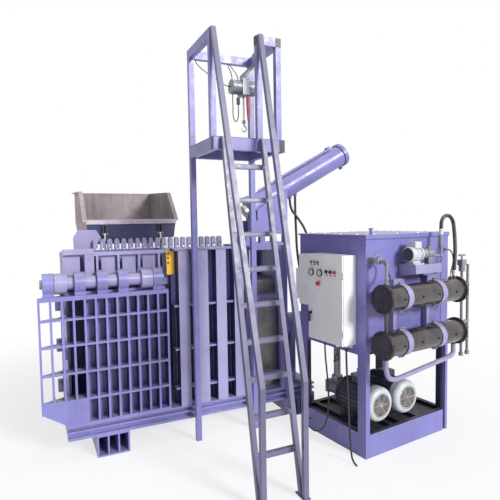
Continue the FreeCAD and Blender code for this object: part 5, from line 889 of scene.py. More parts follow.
CORDS = (
    Route("pendant_control_cable", (
        (1.1245, -0.6, 3.269), (1.1245, -0.6, 3.225), (1.1255, -0.6, 3.165), (1.1235, -0.6, 3.105),
        (1.1285, -0.6, 3.049), (1.1505, -0.6, 3.015), (1.176, -0.6, 3.049), (1.181, -0.6, 3.105),
        (1.18, -0.6, 3.14), (1.18, -0.6, 3.18)), 0.009, "pendant_cable", "limp", "trolley"),
    Route("hoist_supply_strand", (
        (0.832, -0.426, 3.595), (0.832, -0.426, 3.563), (0.89, -0.461, 3.5), (0.96, -0.511, 3.43),
        (1.03, -0.571, 3.365), (1.0705, -0.6, 3.335), (1.1065, -0.6, 3.335)),
        0.008, "supply_cable", "limp", "trolley"),
    Route("hoist_supply_bight", (
        (1.1205, -0.6, 3.401), (1.1205, -0.6, 3.441), (1.1045, -0.566, 3.511), (1.1165, -0.505, 3.567),
        (1.1505, -0.445, 3.591), (1.1705, -0.46, 3.565), (1.1765, -0.54, 3.491), (1.179, -0.6, 3.431),
        (1.179, -0.6, 3.395)), 0.008, "supply_cable", "limp", "trolley"),
    Route("cooler_hose_loop", (
        (0.855, -0.112, 1.947), (0.855, -0.112, 2.007), (0.856, -0.113, 2.0781), (0.9019, -0.115, 2.125),
        (0.9681, -0.118, 2.125), (1.015, -0.124, 2.0781), (1.022, -0.132, 1.99), (1.016, -0.146, 1.88),
        (1.0, -0.16, 1.775), (0.98, -0.168, 1.685), (0.97, -0.172, 1.62), (0.97, -0.172, 1.56)),
        0.034, "cooler_hoses", "stiff", in_pack=True, finish=ROUTED),
    Route("tank_thin_hose", (
        (1.06, -0.024, 1.8), (1.06, -0.058, 1.8), (1.05, -0.096, 1.77), (1.02, -0.13, 1.71),
        (0.96, -0.16, 1.65), (0.92, -0.172, 1.612), (0.92, -0.172, 1.56)),
        0.012, "cooler_hoses", "medium", in_pack=True),
    Route("left_elbow_hose", (
        (0.092, -0.08, 1.745), (0.128, -0.08, 1.745), (0.156, -0.088, 1.687), (0.142, -0.12, 1.633),
        (0.112, -0.172, 1.607), (0.082, -0.172, 1.607)), 0.018, "cooler_hoses", "medium", in_pack=True),
    Route("cabinet_hanging_cable", (
        (-0.08, 0.44, 0.972), (-0.08, 0.44, 0.862), (-0.092, 0.4, 0.7), (-0.104, 0.365, 0.53),
        (-0.114, 0.355, 0.36), (-0.114, 0.39, 0.215), (-0.116, 0.47, 0.11), (-0.116, 0.57, 0.076),
        (-0.11, 0.66, 0.1), (-0.068, 0.72, 0.13), (-0.024, 0.72, 0.13)),
        0.015, "cabinet_cables", "medium", in_pack=True),
    Route("cabinet_supply_lead", (
        (-0.062, 0.176, 0.972), (-0.062, 0.176, 0.872), (-0.08, 0.146, 0.69), (-0.098, 0.114, 0.5),
        (-0.116, 0.084, 0.31), (-0.13, 0.054, 0.13), (-0.138, 0.026, 0.014), (-0.15, -0.039, 0.009)),
        0.017, "cabinet_cables", "medium", in_pack=True, far_end="bare"),
    Route("cabinet_gland_loop", (
        (-0.112, 0.232, 0.972), (-0.112, 0.232, 0.922), (-0.126, 0.25, 0.862), (-0.122, 0.282, 0.822),
        (-0.058, 0.274, 0.842), (-0.052, 0.3, 0.912), (-0.052, 0.3, 0.972)),
        0.012, "cabinet_cables", "medium", in_pack=True),
    Route("stand_straight_hose", (
        (2.131, 0.0, 2.3765), (2.131, 0.0, 2.2), (2.139, -0.003, 1.98), (2.139, -0.015, 1.76),
        (2.117, -0.11, 1.56), (2.0066, -0.3772, 1.33), (2.0236, -0.5161, 1.33)),
        0.027, "stand_hoses", "stiff"),
    Route("stand_curved_hose", (
        (2.062, 0.0, 2.34), (2.062, 0.0, 2.24), (2.15, -0.026, 2.13), (2.222, -0.07, 2.0),
        (2.215, -0.15, 1.84), (2.18, -0.215, 1.66), (2.14, -0.262, 1.49), (2.1257, -0.3626, 1.33),
        (2.1427, -0.5015, 1.33)), 0.027, "stand_hoses", "stiff"))


@dataclass(frozen=True)
class Press:
    """The press: feet, base, ribbed walls, hinge and comb."""
    front: float = -0.350
    plate: float = -0.230
    chamber_back: float = 0.200
    first_rib: float = -0.577
    pitch: float = 0.0924
    ribs: int = 13
    overhang: int = 2
    windows: int = 2
    half_rib: float = 0.009
    rows: tuple[float, ...] = (0.557, 0.800, 1.045, 1.275)
    rail_bottom: float = 1.440
    rail_top: float = 1.476
    base_top: float = 0.330
    web: float = -0.3295
    web_beads: tuple[float, ...] = (0.2195, 0.3125)
    web_runs: Outline = ((-0.37, -0.150), (0.152, 1.848), (2.01, 2.13))
    body_left: float = 0.600
    body_top: float = 1.820
    column: float = 0.642
    columns: int = 4
    column_pitch: float = 0.1905
    column_width: float = 0.105
    bars: tuple[float, ...] = (0.500, 0.880, 1.300)
    pin: Pair = (-0.270, 1.583)
    knuckles: tuple[float, ...] = (-0.496, -0.240, -0.050, 0.133, 0.447)
    lug_side: float = 0.04416
    nipple: Outline = (
        (0.006, 0.0), (0.006, 0.004), (0.0035, 0.005), (0.003, 0.009), (0.0042, 0.011), (0.0036, 0.014),
        (0.002, 0.015))
    comb_left: float = -0.062
    teeth: int = 21
    tooth_pitch: float = 0.070
    main_axis: float = 0.900
    side_axis: Pair = (0.180, 0.800)
    lid_front: float = -0.1715
    gussets: Pair = (-0.0745, 0.189)
    lid_column: Pair = (-0.1835, -0.1005)
    tamper_lean: float = radians(27.9)
    tamper_end: Place = (1.560, 0.0, 2.236)
    tamper_rod: float = 0.0505

    def wall_painted_light_and_shade(self, middle: Vector, normal: Vector) -> int:
        """Painted shade on the ribs' sides and deep plates, painted light on the ram body's front edges.

        Args:
            middle: the face's middle.
            normal: the way it faces.

        Returns:
            0 for the wall's paint, 1 for the painted shade and 2 for the painted light.
        """
        # painted shade on the rib sides and deep plates, painted light on the ram body's front faces
        if middle.y > self.chamber_back or not self.base_top <= middle.z <= self.rail_bottom + 0.02:
            return 0
        if middle.y < self.front + 0.004:
            return 2 if middle.x > self.body_left else 0
        return int(normal.x < -0.6 or (middle.x > self.body_left and middle.y > self.plate - 0.03))

    def lid_painted_light(self, middle: Vector, normal: Vector) -> int:
        """Painted light, a lighter copy of the paint, on the lid's front, cap and outer knuckles: 1 there
        and 0 elsewhere.
        """
        return int(middle.y < -0.155 or middle.z > 1.80 or abs(middle.x) > 0.585)

    def shoe(self, middle: Vector, normal: Vector) -> int:
        """Bright on the tamper's rod and plain steel on its shoe.

        Args:
            middle: the face's middle.
            normal: the way it faces.

        Returns:
            0 for the rod and 1 for the shoe.
        """
        along = Vector((cos(self.tamper_lean), 0.0, sin(self.tamper_lean)))
        away = middle - Vector(self.tamper_end)
        return int((away - along * away.dot(along)).length > self.tamper_rod or abs(normal.dot(along)) > 0.9)

    def plates(self) -> None:
        """Dress every plate, barrel and rod."""
        dress(LILAC, 0.0022, "press_feet", "base_frame", "rear_wall", "end_door", "guide_frame",
              "cylinder_stand", "fixed_knuckles")
        # painted shade and painted light on the ribbed walls
        for node in ("side_wall", "ram_body"):
            dressed(node, LILAC, 0.0022, (PAINTED_SHADE_RECESS, PAINTED_LIGHT_LILAC), self.wall_painted_light_and_shade)
        # painted light: the lid's front, cap and outer knuckles get the lighter copy of the paint
        dressed("lid", LILAC, 0.0022, (PAINTED_LIGHT_LILAC,), self.lid_painted_light)
        dress(STEEL, 0.002, "hinge_pin", "main_ram", "side_ram")
        # painted light: the comb gets the lighter copy of the lilac paint
        dress(PAINTED_LIGHT_LILAC, 0.002, "shear_comb")
        dress(YELLOW, 0.0015, "lid_strip")
        dress(LILAC, 0.0018, "main_cylinder", "side_cylinder", "tamper_cylinder")
        dressed("tamper_ram", CHROME, 0.0, (STEEL,), self.shoe)

    def wall_welds(self) -> None:
        """Weld the bars, the rail and the feet of the ribs in the wall and in the ram's body."""
        beads = Maker("wall_welds")
        last, skin = self.ribs - 1, self.plate - 0.0015
        near, far = self.front + 0.035, self.plate - 0.01
        for index in range(self.ribs):
            for side in BOTH:
                x = self.first_rib + self.pitch * index + side * (self.half_rib + 0.002)
                if index >= self.overhang:
                    z = self.rail_bottom - 0.003
                    beads.weld((x, self.front + 0.010, z), (x, self.plate - 0.006, z), 0.0045)
                if (self.overhang <= index < last or (index == last and side < 0)
                        or (index == self.overhang - 1 and side > 0)):
                    for z in (row + 0.011 for row in self.rows):
                        beads.weld((x, near, z), (x, far, z), 0.005)
                if index > self.overhang + self.windows:
                    beads.weld((x, skin, self.base_top + 0.015), (x, skin, self.rows[0] - 0.017))
        for index in range(self.columns):
            for side in (-0.002, self.column_width + 0.002):
                x = self.column + self.column_pitch * index + side
                for low, high in zip((self.base_top + 0.01,) + self.bars, self.bars + (self.body_top,)):
                    beads.weld((x, skin, low + 0.012), (x, skin, high - 0.012), 0.005)
                for z in (bar + 0.012 for bar in self.bars):
                    beads.weld((x, self.front + 0.022, z), (x, far, z), 0.005)
        beads.done(WELD)

    def base_welds(self) -> None:
        """Weld the base's flanges to its web."""
        beads = Maker("base_welds")
        for z in self.web_beads:
            for start, end in self.web_runs:
                beads.weld((start, self.web, z), (end, self.web, z), 0.0035)
        beads.done(WELD)

    def hinge_parts(self) -> None:
        """Grease nipples on the knuckles and the beads round their lugs."""
        nipples, beads = Maker("grease_nipples"), Maker("hinge_welds")
        y, z = self.pin
        foot, lug_y, lug_z = self.rail_top + 0.0015, -0.3305, self.rail_top + 0.002
        for x in self.knuckles:
            nipples.lathe((x, y - 0.0885, z - 0.0322), (0.0, -0.94, -0.342), self.nipple, 10)
            for side in BOTH:
                edge = x + side * self.lug_side
                beads.weld((edge, -0.329, foot), (edge, -0.240, foot), 0.005)
            beads.weld((x - 0.044, lug_y, lug_z), (x + 0.044, lug_y, lug_z), 0.005)
        nipples.done(BRASS)
        beads.done(WELD)

    def comb_bolts(self) -> None:
        """Bolt the comb's foot down between its teeth and the marking bar to the lid."""
        heads, bar = Maker("comb_bolts"), Maker("marking_bar_bolts")
        for index in range(self.teeth - 1):
            x = self.comb_left + self.tooth_pitch * (index + 0.5) + (0.0 if index else 0.010)
            heads.bolt((x, 0.2578, 1.835), -BACK, 0.016)
        for z in (1.715, 1.760, 1.805):
            bar.bolt((0.573, -0.2482, z), -BACK, 0.013)
        heads.done(ZINC)
        bar.done(OILED, "lid")

    def cylinder_parts(self) -> None:
        """Bolt rings and weld beads on the cylinders."""
        heads, beads = Maker("cylinder_bolts"), Maker("cylinder_welds")
        x, z = self.side_axis
        heads.bolt_ring((1.8205, 0.0, self.main_axis), -RIGHT, 0.173, 12, 0.022)
        heads.bolt_ring((x, 0.3495, z), -BACK, 0.112, 8, 0.016)
        beads.wheel((2.715, 0.0, self.main_axis), RIGHT, 0.1495, 0.005, 60)
        beads.wheel((x, 1.004, z), BACK, 0.0945, 0.004, 48)
        beads.done(WELD)
        heads.done(OILED)

    def lid_welds(self) -> None:
        """Weld the lid's gussets, column and cap."""
        beads = Maker("lid_welds")
        first, pitch = self.gussets
        for k in range(4):
            for side in BOTH:
                x = first + pitch * k + side * 0.011
                beads.weld((x, self.lid_front, 1.69), (x, self.lid_front, 1.775))
                beads.weld((x, -0.212, 1.8085), (x, -0.175, 1.8085))
        for x in self.lid_column:
            beads.weld((x, self.lid_front, 1.640), (x, self.lid_front, 1.820))
        beads.weld((-0.181, -0.2145, 1.8255), (-0.103, -0.2145, 1.8255))
        beads.done(WELD, "lid")

    def build(self) -> None:
        """Dress the press's nodes and lay its welds and bolts."""
        for step in (self.plates, self.wall_welds, self.base_welds, self.hinge_parts, self.comb_bolts,
                     self.cylinder_parts, self.lid_welds):
            step()


@dataclass(frozen=True)
class Hopper:
    """The tipping tray, its hinges and its trestle."""
    hinge_xs: Pair = (0.080, 0.661)
    hinge: Pair = (0.378, 1.985)
    lip_xs: Pair = (-0.085, 0.832)
    lip_z: float = 2.0
    corners: Pair = (-0.0745, 0.8215)
    legs: Pair = (-0.059, 0.736)
    leg: float = 0.070
    leg_ys: Pair = (0.800, 1.430)
    cross: Pair = (0.470, 1.870)

    def tray_finish(self, middle: Vector, normal: Vector) -> int:
        """Worn steel inside, pale paint on the rim and lips, painted shade outside.

        Args:
            middle: the face's middle.
            normal: the way it faces.

        Returns:
            0 for the painted shade, 1 for the inside, 2 for the rim and 3 for the worn side.
        """
        x, y, z = middle
        left, right = self.lip_xs
        rim = (y < 0.4035 and z > 2.085) or (z > self.lip_z and x < -0.0995 and normal.x > -0.5)
        if rim or (normal.z > 0.6 and z > self.lip_z and not left < x < right):
            return 2
        if normal.x < -0.6 and x < -0.05:
            return 3
        return int(left - 0.005 < x < right + 0.005 and 0.409 < y < 1.581 and z > 1.948)

    def welds(self) -> None:
        """Weld the tray's corners and the trestle's bars."""
        beads, frame = Maker("tray_welds"), Maker("trestle_welds")
        for x in self.corners:
            beads.weld((x, 0.4135, 1.960), (x, 0.4135, 2.080))
        for hinge_x in self.hinge_xs:
            for x in (hinge_x + side + edge for side in (-0.016, 0.016) for edge in (-0.0055, 0.0055)):
                beads.weld((x, 0.3995, 1.955), (x, 0.3995, 2.015), 0.0035)
        beads.done(WELD, "hopper")
        inset = 0.004
        for x, side in zip(self.legs, (self.leg, 0.0)):
            for y, inner in zip(self.leg_ys, (self.leg, 0.0)):
                for z in self.cross:
                    frame.weld((x + inset, y + inner, z), (x + self.leg - inset, y + inner, z))
                    frame.weld((x + side, y + inset, z), (x + side, y + self.leg - inset, z))
        frame.done(WELD)

    def hinge_parts(self) -> None:
        """Split pins on the hinge pins."""
        clips = Maker("hopper_pin_clips")
        y, z = self.hinge
        for hinge_x in self.hinge_xs:
            for way in BOTH:
                x = hinge_x + way * 0.0315
                clips.sweep([(x, y, z - 0.017 + 0.034 * k / 6) for k in range(7)], 0.0014, 6)
                clips.wheel((x, y, z + 0.0195), RIGHT, 0.003, 0.0012, 14)
        clips.done(ZINC)

    def build(self) -> None:
        """Dress the tray, its lugs and its trestle."""
        # painted shade on the tray's outside
        dressed("hopper_tray", PAINTED_SHADE_NAVY, 0.002, (RUST, EDGE, SIDE), self.tray_finish)
        dress(STEEL, 0.0015, "hopper_lugs")
        dress(LILAC, 0.002, "hopper_frame")
        self.welds()
        self.hinge_parts()


@dataclass(frozen=True)
class Tower:
    """The service tower, its deck, ladder and handrails."""
    deck_x: Pair = (0.765, 1.407)
    deck_y: Pair = (-1.035, -0.410)
    deck_top: float = 2.796
    tread_pitch: float = 0.042
    tread: Place = (0.012, 0.0032, 0.0016)      # half its length, half its width, its height
    inner_sides: Pair = (0.856, 1.172)
    ladder_foot: float = -1.650
    ladder_head: float = -1.066
    ladder_height: float = 2.790
    rung: float = 0.345
    rung_pitch: float = 0.275
    rungs: int = 9

    def rung_welds(self) -> None:
        """Weld every rung to the ladder's sides."""
        beads = Maker("rung_welds")
        for height in (self.rung + self.rung_pitch * k for k in range(self.rungs)):
            middle = self.ladder_foot + (self.ladder_head - self.ladder_foot) * height / self.ladder_height
            for x in (self.inner_sides[0] + 0.001, self.inner_sides[1] - 0.001):
                for y in (middle - 0.013, middle + 0.013):
                    beads.weld((x, y, height - 0.012), (x, y, height + 0.012), 0.003)
        beads.done(WELD)

    def deck_tread(self) -> None:
        """Raise the chequered pattern of lozenges on the deck plate."""
        ribs = Maker("deck_tread")
        (left, right), (near, far) = self.deck_x, self.deck_y
        length, width, height = self.tread
        foot = [(length, 0.0), (0.0, width), (-length, 0.0), (0.0, -width)]
        rows = [[Vector((x, y, 0.0)) for x, y in foot],
                [Vector((x * 0.7, y * 0.55, height)) for x, y in foot]]
        for i in range(1, int((right - left) / self.tread_pitch)):
            for j in range(1, int((far - near) / self.tread_pitch)):
                middle = (left + self.tread_pitch * i, near + self.tread_pitch * j, self.deck_top - 0.0006)
                lean = radians(45.0 if (i + j) % 2 else -45.0)
                place = Matrix.Translation(middle) @ Matrix.Rotation(lean, 4, "Z")
                ribs.rings([[place @ point for point in row] for row in rows])
        ribs.done(LILAC)

    def build(self) -> None:
        """Dress the tower's nodes, then its welds and the deck's pattern."""
        dress(LILAC, 0.0010, "tower_frame")
        # painted shade: the deck gets the near-black copy of the paint
        dress(PAINTED_SHADE_NAVY, 0.0010, "tower_deck")
        dress(CLIMB, 0.0015, "ladder", "handrails")
        dress(BLACK, 0.0006, "tube_plugs")
        self.rung_welds()
        self.deck_tread()


@dataclass(frozen=True)
class Hoist:
    """The chain hoist with its trolley, bag, hook and pendant switch."""
    middle: Place = (1.224, -0.600, 3.335)
    caps: Pair = (1.1063, 1.3417)
    chain_x: float = 1.2345
    top_link: float = 3.297
    link_pitch: float = 0.022
    links: int = 12
    link_reach: float = 0.007
    wire: float = 0.003
    block: Outline = (
        (0.012, 0.0), (0.0155, 0.002), (0.0168, 0.007), (0.0168, 0.012), (0.0156, 0.013), (0.0156, 0.018),
        (0.0168, 0.019), (0.0168, 0.027), (0.0140, 0.031), (0.0090, 0.0340))
    block_z: float = 3.0095
    hook_bar: float = 0.0068
    curl: float = 0.024
    curl_z: float = 2.960
    bag_middle: float = 1.2815
    bag_top: float = 3.263
    bag_bottom: float = 3.045
    bag_levels: int = 18
    bag_steps: int = 48
    bag_flat: Pair = (0.124, 0.226)

    def hang(self, piece: Maker, finish: Finish) -> None:
        """Let a piece ride with the hook, in place of the hook's node."""
        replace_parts(piece.done(finish, FRAME["nodes"]["hoist_hook"]["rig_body"]), "hoist_hook")

    def chain(self) -> None:
        """Hang the chain: every link a closed ring, each one turned a quarter from the last."""
        links = Maker("hoist_chain")
        for index in range(self.links):
            side = RIGHT if index % 2 else BACK
            middle = Vector((self.chain_x, self.middle[1], self.top_link - self.link_pitch * index))
            line = [middle + (side * cos(pi * k / 8) + UP * (1.0 + sin(pi * k / 8))) * self.link_reach * end
                    for end in (1.0, -1.0) for k in range(9)]
            links.sweep(line, self.wire, 10, closed=True)
        self.hang(links, STEEL)

    def hook(self) -> None:
        """The hook: its block, its tapering bend and its safety latch."""
        block, bend, latch = Maker("hook_block"), Maker("hook_bend"), Maker("hook_latch")
        x, y, bar = self.chain_x, self.middle[1], self.hook_bar
        block.lathe((x, y, self.block_z), UP, self.block, 40)
        block.bolt((x, y, self.block_z + 0.017), -BACK, 0.007)
        line, sizes = [(x, y, 3.012), (x, y, 2.998)], [bar, bar - 0.0002]
        for k in range(23):
            angle = radians(55.0 - 235.0 * k / 22)
            line.append((x + self.curl * cos(angle), y, self.curl_z + self.curl * sin(angle)))
            sizes.append(bar - 0.0042 * max(0, k - 14) / 8)
        bend.sweep(line, sizes, 16)
        latch.sweep([(x + 0.006, y, 2.9905), (x - 0.010, y, 2.978), (x - 0.0205, y, 2.966)],
                    [0.0036, 0.0030, 0.0022], 10)
        for piece, finish in ((block, HOIST), (bend, STEEL), (latch, ZINC)):
            self.hang(piece, finish)

    def bag(self) -> None:
        """The cloth chain bag: a folded shell that sags under the chain in it."""
        outer, inner = [], []
        y = self.middle[1]
        for level in range(self.bag_levels + 1):
            share = level / self.bag_levels
            wide = 0.0215 - 0.0085 * share + 0.0008 * sin(pi * share)
            deep = 0.0185 + 0.0010 * sin(pi * share * 1.3) - 0.0060 * max(0.0, share - 0.80) / 0.20
            core = Vector((self.bag_middle + 0.0006 * sin(5.0 * share) + 0.0034 * share, y,
                           self.bag_top + (self.bag_bottom - self.bag_top) * share))
            row = []
            for angle in (2 * pi * k / self.bag_steps for k in range(self.bag_steps)):
                fold = 1.0 + 0.050 * sin(5 * angle + 2.2 * share) * (0.35 + share)
                fold += 0.022 * sin(9 * angle - 7 * share)
                if 0.06 < share < 0.10:
                    fold *= 0.965
                row.append(core + Vector((wide * fold * cos(angle), deep * fold * sin(angle),
                                          0.003 * sin(angle * 2) * (share - 1))))
            outer.append(row)
            inner.append([core + (point - core) * 0.93 for point in row])
        foot = Vector((self.bag_middle + 0.003, y, self.bag_bottom))
        last = [point + (foot - point) * 0.55 - UP * 0.0015 for point in outer[-1]]
        cloth, hem = Maker("hoist_chain_bag"), Maker("bag_hem_stitches")
        cloth.rings(inner[-2::-1] + outer + [last])
        piece = cloth.done(CLOTH, "trolley", 60.0)
        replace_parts(piece, "chain_bag")
        for k in range(0, self.bag_steps, 2):
            a, b = outer[2][k], outer[2][k + 1]
            hem.sweep([a.lerp(b, -0.1), a.lerp(b, 0.9)], 0.0005, 5)
        hem.done(PALE, "trolley")

    def screws(self) -> None:
        """Screws on the hoist's end caps."""
        heads = Maker("hoist_screws")
        for x, axis in zip(self.caps, (-RIGHT, RIGHT)):
            heads.bolt_ring((x, *self.middle[1:]), axis, 0.052, 6, 0.008, 0.5)
        heads.done(ZINC, "trolley")

    def build(self) -> None:
        """Dress the hoist, then hang the chain, the hook and the bag."""
        dress(HOIST, 0.0008, "hoist_trolley")
        dress(HOIST, 0.0010, "hoist_body")
        dress(BLACK, 0.0008, "pendant")
        for step in (self.chain, self.hook, self.bag, self.screws):
            step()


@dataclass(frozen=True)
class PowerPack:
    """The skid, tank, coolers, motors and pumps."""
    cooler_v: float = -0.172
    cooler_zs: Pair = (1.436, 1.045)
    flange_seats: Outline = ((-0.0005, -1.0), (1.0265, 1.0), (0.0325, 1.0), (0.9935, -1.0))
    flange_ring: float = 0.1135
    plugs: tuple[float, ...] = (0.17, 0.40, 0.62, 0.86)
    plug: Outline = ((0.011, 0.0), (0.011, 0.004), (0.008, 0.0045), (0.008, 0.008))
    clamps: Pair = (0.246, 0.696)
    motors: Pair = (0.272, 0.626)
    motor_z: float = 0.402
    cover_z: float = 1.9685
    cover_us: Pair = (0.022, 1.078)
    cover_vs: Pair = (0.022, 0.878)

    def skid_finish(self, middle: Vector, normal: Vector) -> int:
        """Painted shade in the open space under the tank, paint outside.

        Args:
            middle: the face's middle.
            normal: the way it faces.

        Returns:
            1 for the painted shade and 0 for the tank's paint.
        """
        u, v, z = PACK.local(middle)
        return int(v > 0.03 and z < 0.955 and 0.01 < u < 1.12)

    def motor_finish(self, middle: Vector, normal: Vector) -> int:
        """Painted shade on the cases, dusty grilles and pale fan covers.

        Args:
            middle: the face's middle.
            normal: the way it faces.

        Returns:
            0 for a cover, 1 for a case's painted shade and 2 for a grille.
        """
        u, v, z = PACK.local(middle)
        if v > 0.168:
            return 1
        away = min(Vector((u - motor, z - self.motor_z)).length for motor in self.motors)
        return 2 if v < 0.078 and away < 0.098 else 0

    def fan_finish(self, middle: Vector, normal: Vector) -> int:
        """Dark on the circulation motor's fan grille: 1 there and 0 elsewhere."""
        return int(normal.dot(PACK.across) < -0.9 and PACK.local(middle).x < 0.40)

    def plates(self) -> None:
        """Dress the pack's nodes."""
        dressed("pack_skid", TANK, 0.002, (SHADE,), self.skid_finish)
        dress(TANK, 0.002, "oil_tank", "tank_cover")
        # painted light: the return pipe, the clamps and the shelf get the lighter copy of the lilac paint
        dress(PAINTED_LIGHT_LILAC, 0.002, "return_pipe")
        dress(COOLER, 0.0012, "coolers", "cooler_caps")
        dress(PAINTED_LIGHT_LILAC, 0.0012, "cooler_clamps", "pump_shelf")
        dressed("circ_motor", MOTOR, 0.0006, (FAN,), self.fan_finish)
        dress(PUMP, 0.0012, "circ_pump", "pack_fittings")
        dressed("main_motors", MOTOR, 0.0005, (PAINTED_SHADE_CASE, GRILLE), self.motor_finish)
        dress(FAN, 0.0004, "motor_fan_left", "motor_fan_right")
        dress(PUMP, 0.0015, "main_pumps")

    def cooler_parts(self) -> None:
        """Bolt the coolers' end flanges and close their drain holes."""
        heads, plugs = Maker("cooler_bolts"), Maker("cooler_plugs")
        for z in self.cooler_zs:
            for u, way in self.flange_seats:
                seat = PACK.at(u, self.cooler_v, z)
                heads.bolt_ring(seat, PACK.across * way, self.flange_ring, 8, 0.011, 0.5)
            for u in self.plugs:
                plugs.lathe(PACK.at(u, self.cooler_v - 0.1015, z), PACK.front, self.plug, 20)
                plugs.bolt(PACK.at(u, self.cooler_v - 0.109, z), PACK.front, 0.010, False)
        heads.done(OILED)
        plugs.done(OILED)

    def clamp_parts(self) -> None:
        """The clamps' bolts and the rubber under them."""
        heads, rubber = Maker("clamp_bolts"), Maker("clamp_rubber")
        for z in self.cooler_zs:
            for u in self.clamps:
                for way in BOTH:
                    rubber.wheel(PACK.at(u + way * 0.031, self.cooler_v, z), PACK.across, 0.1045, 0.0022, 48)
                    for edge in (u - 0.015, u + 0.015):
                        seat = PACK.at(edge, self.cooler_v - 0.0125, z + way * 0.1215)
                        heads.bolt(seat, PACK.front, 0.009)
        heads.done(OILED)
        rubber.done(RUBBER)

    def tank_parts(self) -> None:
        """The cover's bolts and the weld along the tank's foot."""
        beads, heads = Maker("tank_welds"), Maker("cover_bolts")
        beads.weld(PACK.at(0.004, -0.001, 0.9575), PACK.at(1.096, -0.001, 0.9575))
        near, far = self.cover_vs
        seats = [(0.03 + 1.04 * k / 11, v) for k in range(12) for v in self.cover_vs]
        seats += [(u, near + (far - near) * k / 8) for k in range(1, 8) for u in self.cover_us]
        for u, v in seats:
            heads.bolt(PACK.at(u, v, self.cover_z), UP, 0.011)
        beads.done(TANK_WELD)
        heads.done(ZINC)

    def hose_sleeves(self) -> None:
        """Pressed sleeves at the ends of the hoses, each with two grooves."""
        sleeves = Maker("hose_sleeves")
        shares = ((0.93, 0.26), (1.0, 0.30), (1.0, 0.52), (0.93, 0.56), (1.0, 0.60), (1.0, 0.90),
                  (0.91, 1.0))
        for place, axis, size, length in (
                ((0.855, -0.112, 1.9475), UP, 0.0195, 0.055), ((0.970, -0.172, 1.5605), UP, 0.0195, 0.055),
                ((0.920, -0.172, 1.5605), UP, 0.0080, 0.030),
                ((1.060, -0.0245, 1.800), PACK.front, 0.0080, 0.024)):
            outline = [(size * 0.90, 0.0), (size, 0.003), (size, length * 0.22)]
            outline += [(size * wide, length * high) for wide, high in shares]
            sleeves.lathe(PACK.at(*place), axis, outline, 28)
        sleeves.done(PALE)

    def build(self) -> None:
        """Dress the pack's nodes, then its bolts, sleeves and welds."""
        for step in (self.plates, self.cooler_parts, self.clamp_parts, self.tank_parts, self.hose_sleeves):
            step()


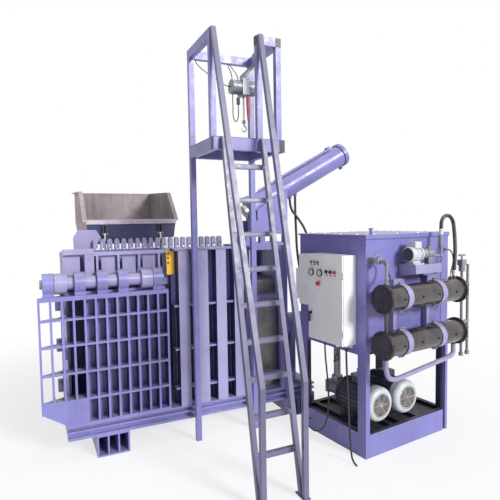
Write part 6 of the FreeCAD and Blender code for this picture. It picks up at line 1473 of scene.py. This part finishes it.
@dataclass(frozen=True)
class Cabinet:
    """The control cabinet with its door and instruments."""
    face: float = -0.161
    door_v: Pair = (0.120, 0.575)
    door_z: Pair = (1.000, 1.790)
    seal_u: float = -0.1451
    buttons: tuple[float, ...] = (0.318, 0.264, 0.211)
    button_z: float = 1.640
    meters: Pair = (0.528, 0.410)
    meter_z: float = 1.622
    dial: float = 0.0283
    dial_depth: float = 0.0083
    lamps: tuple[float, ...] = (0.529, 0.483, 0.437)
    lamp_z: float = 1.715
    lens: float = 0.0098
    glands: Outline = ((-0.080, 0.440), (-0.062, 0.176), (-0.112, 0.232), (-0.052, 0.300))
    gland: Outline = ((0.0135, 0.0), (0.0148, 0.002), (0.0148, 0.010), (0.0135, 0.012))

    def instrument_finish(self, middle: Vector, normal: Vector) -> int:
        """Pale dials, dark rims and needles, and a colour for each lamp.

        Args:
            middle: the face's middle.
            normal: the way it faces.

        Returns:
            0 for a dial, 1 for a rim or needle, and 2, 3 and 4 for the three lenses.
        """
        u, v, z = PACK.local(middle)
        if z > self.meter_z + 0.055:
            near = min(range(3), key=lambda k: abs(v - self.lamps[k]))
            return 1 if Vector((v - self.lamps[near], z - self.lamp_z)).length > self.lens else 2 + near
        away = min(Vector((v - meter, z - self.meter_z)).length for meter in self.meters)
        return int(away > self.dial or u < self.face - self.dial_depth)

    def dials(self) -> None:
        """Tick marks on the meters, and blank plates under the lamps and the buttons."""
        ticks, plates = Maker("meter_ticks"), Maker("legend_plates")
        for v in self.meters:
            for k in range(11):
                wide, high = cos(radians(30.0 * k - 60.0)), sin(radians(30.0 * k - 60.0))
                ticks.sweep([PACK.at(self.face - self.dial_depth, v + r * wide, self.meter_z + r * high)
                             for r in (0.0205 if k % 5 else 0.018, 0.0265)], 0.0006, 5)
        for v, z in ([(v, self.lamp_z - 0.022) for v in self.lamps]
                     + [(v, self.button_z - 0.030) for v in self.buttons]):
            plates.slab((self.face - 0.0012, v - 0.013, z - 0.004),
                        (self.face + 0.0002, v + 0.013, z + 0.004), 0.0003, PACK.place)
        ticks.done(BEZEL, "cabinet_door")
        plates.done(BLACK, "cabinet_door")

    def rims(self) -> None:
        """Rings round the buttons, and the door's seal."""
        rings, seal = Maker("button_rings"), Maker("door_seal")
        for v in self.buttons:
            rings.wheel(PACK.at(self.face - 0.0012, v, self.button_z), PACK.across, 0.0172, 0.0017, 36, 8)
        (left, right), (low, high) = self.door_v, self.door_z
        corners = [PACK.at(self.seal_u, v, z)
                   for v, z in ((left, low), (right, low), (right, high), (left, high))]
        for start, end in zip(corners, corners[1:] + corners[:1]):
            seal.sweep([start, end], 0.0018, 6)
        rings.done(ZINC, "cabinet_door")
        seal.done(RUBBER)

    def gland_parts(self) -> None:
        """Nuts on the cable glands and a tapering sleeve where the supply lead leaves."""
        nuts, sleeve = Maker("gland_nuts"), Maker("supply_strain_relief")
        for u, v in self.glands:
            nuts.lathe(PACK.at(u, v, 0.978), UP, self.gland, 6)
        outline = [(0.0122, 0.0)]
        for k in range(7):
            height, size = 0.003 + 0.006 * k, 0.0126 - 0.0004 * k
            outline += [(size, height), (size, height + 0.0032), (size - 0.0011, height + 0.0036),
                        (size - 0.0011, height + 0.0056)]
        outline.append((0.0089, 0.0460))
        sleeve.lathe(PACK.at(*self.glands[1], 0.9745), -UP, outline, 28)
        nuts.done(BLACK)
        sleeve.done(RUBBER)

    def build(self) -> None:
        """Dress the cabinet's nodes and its instruments."""
        dress(CABINET, 0.0010, "control_cabinet", "cabinet_door")
        dressed("cabinet_meters", DIAL, 0.0006, (BEZEL, GREEN, AMBER, RED), self.instrument_finish)
        dress(BLACK, 0.0008, "push_button_1", "push_button_2")
        dress(RED, 0.0008, "push_button_3", "e_stop")
        dress(BLACK, 0.0010, "door_handle")
        for step in (self.dials, self.rims, self.gland_parts):
            step()


def main() -> None:
    """Build the studio, the cords and every sub-assembly in order."""
    logging.basicConfig(level=logging.INFO, format="%(message)s")
    for part in (Studio(), *CORDS, Press(), Hopper(), Tower(), Hoist(), PowerPack(), Cabinet()):
        LOG.info("building: %s", getattr(part, "name", type(part).__name__))
        part.build()


if __name__ == "__main__":
    main()
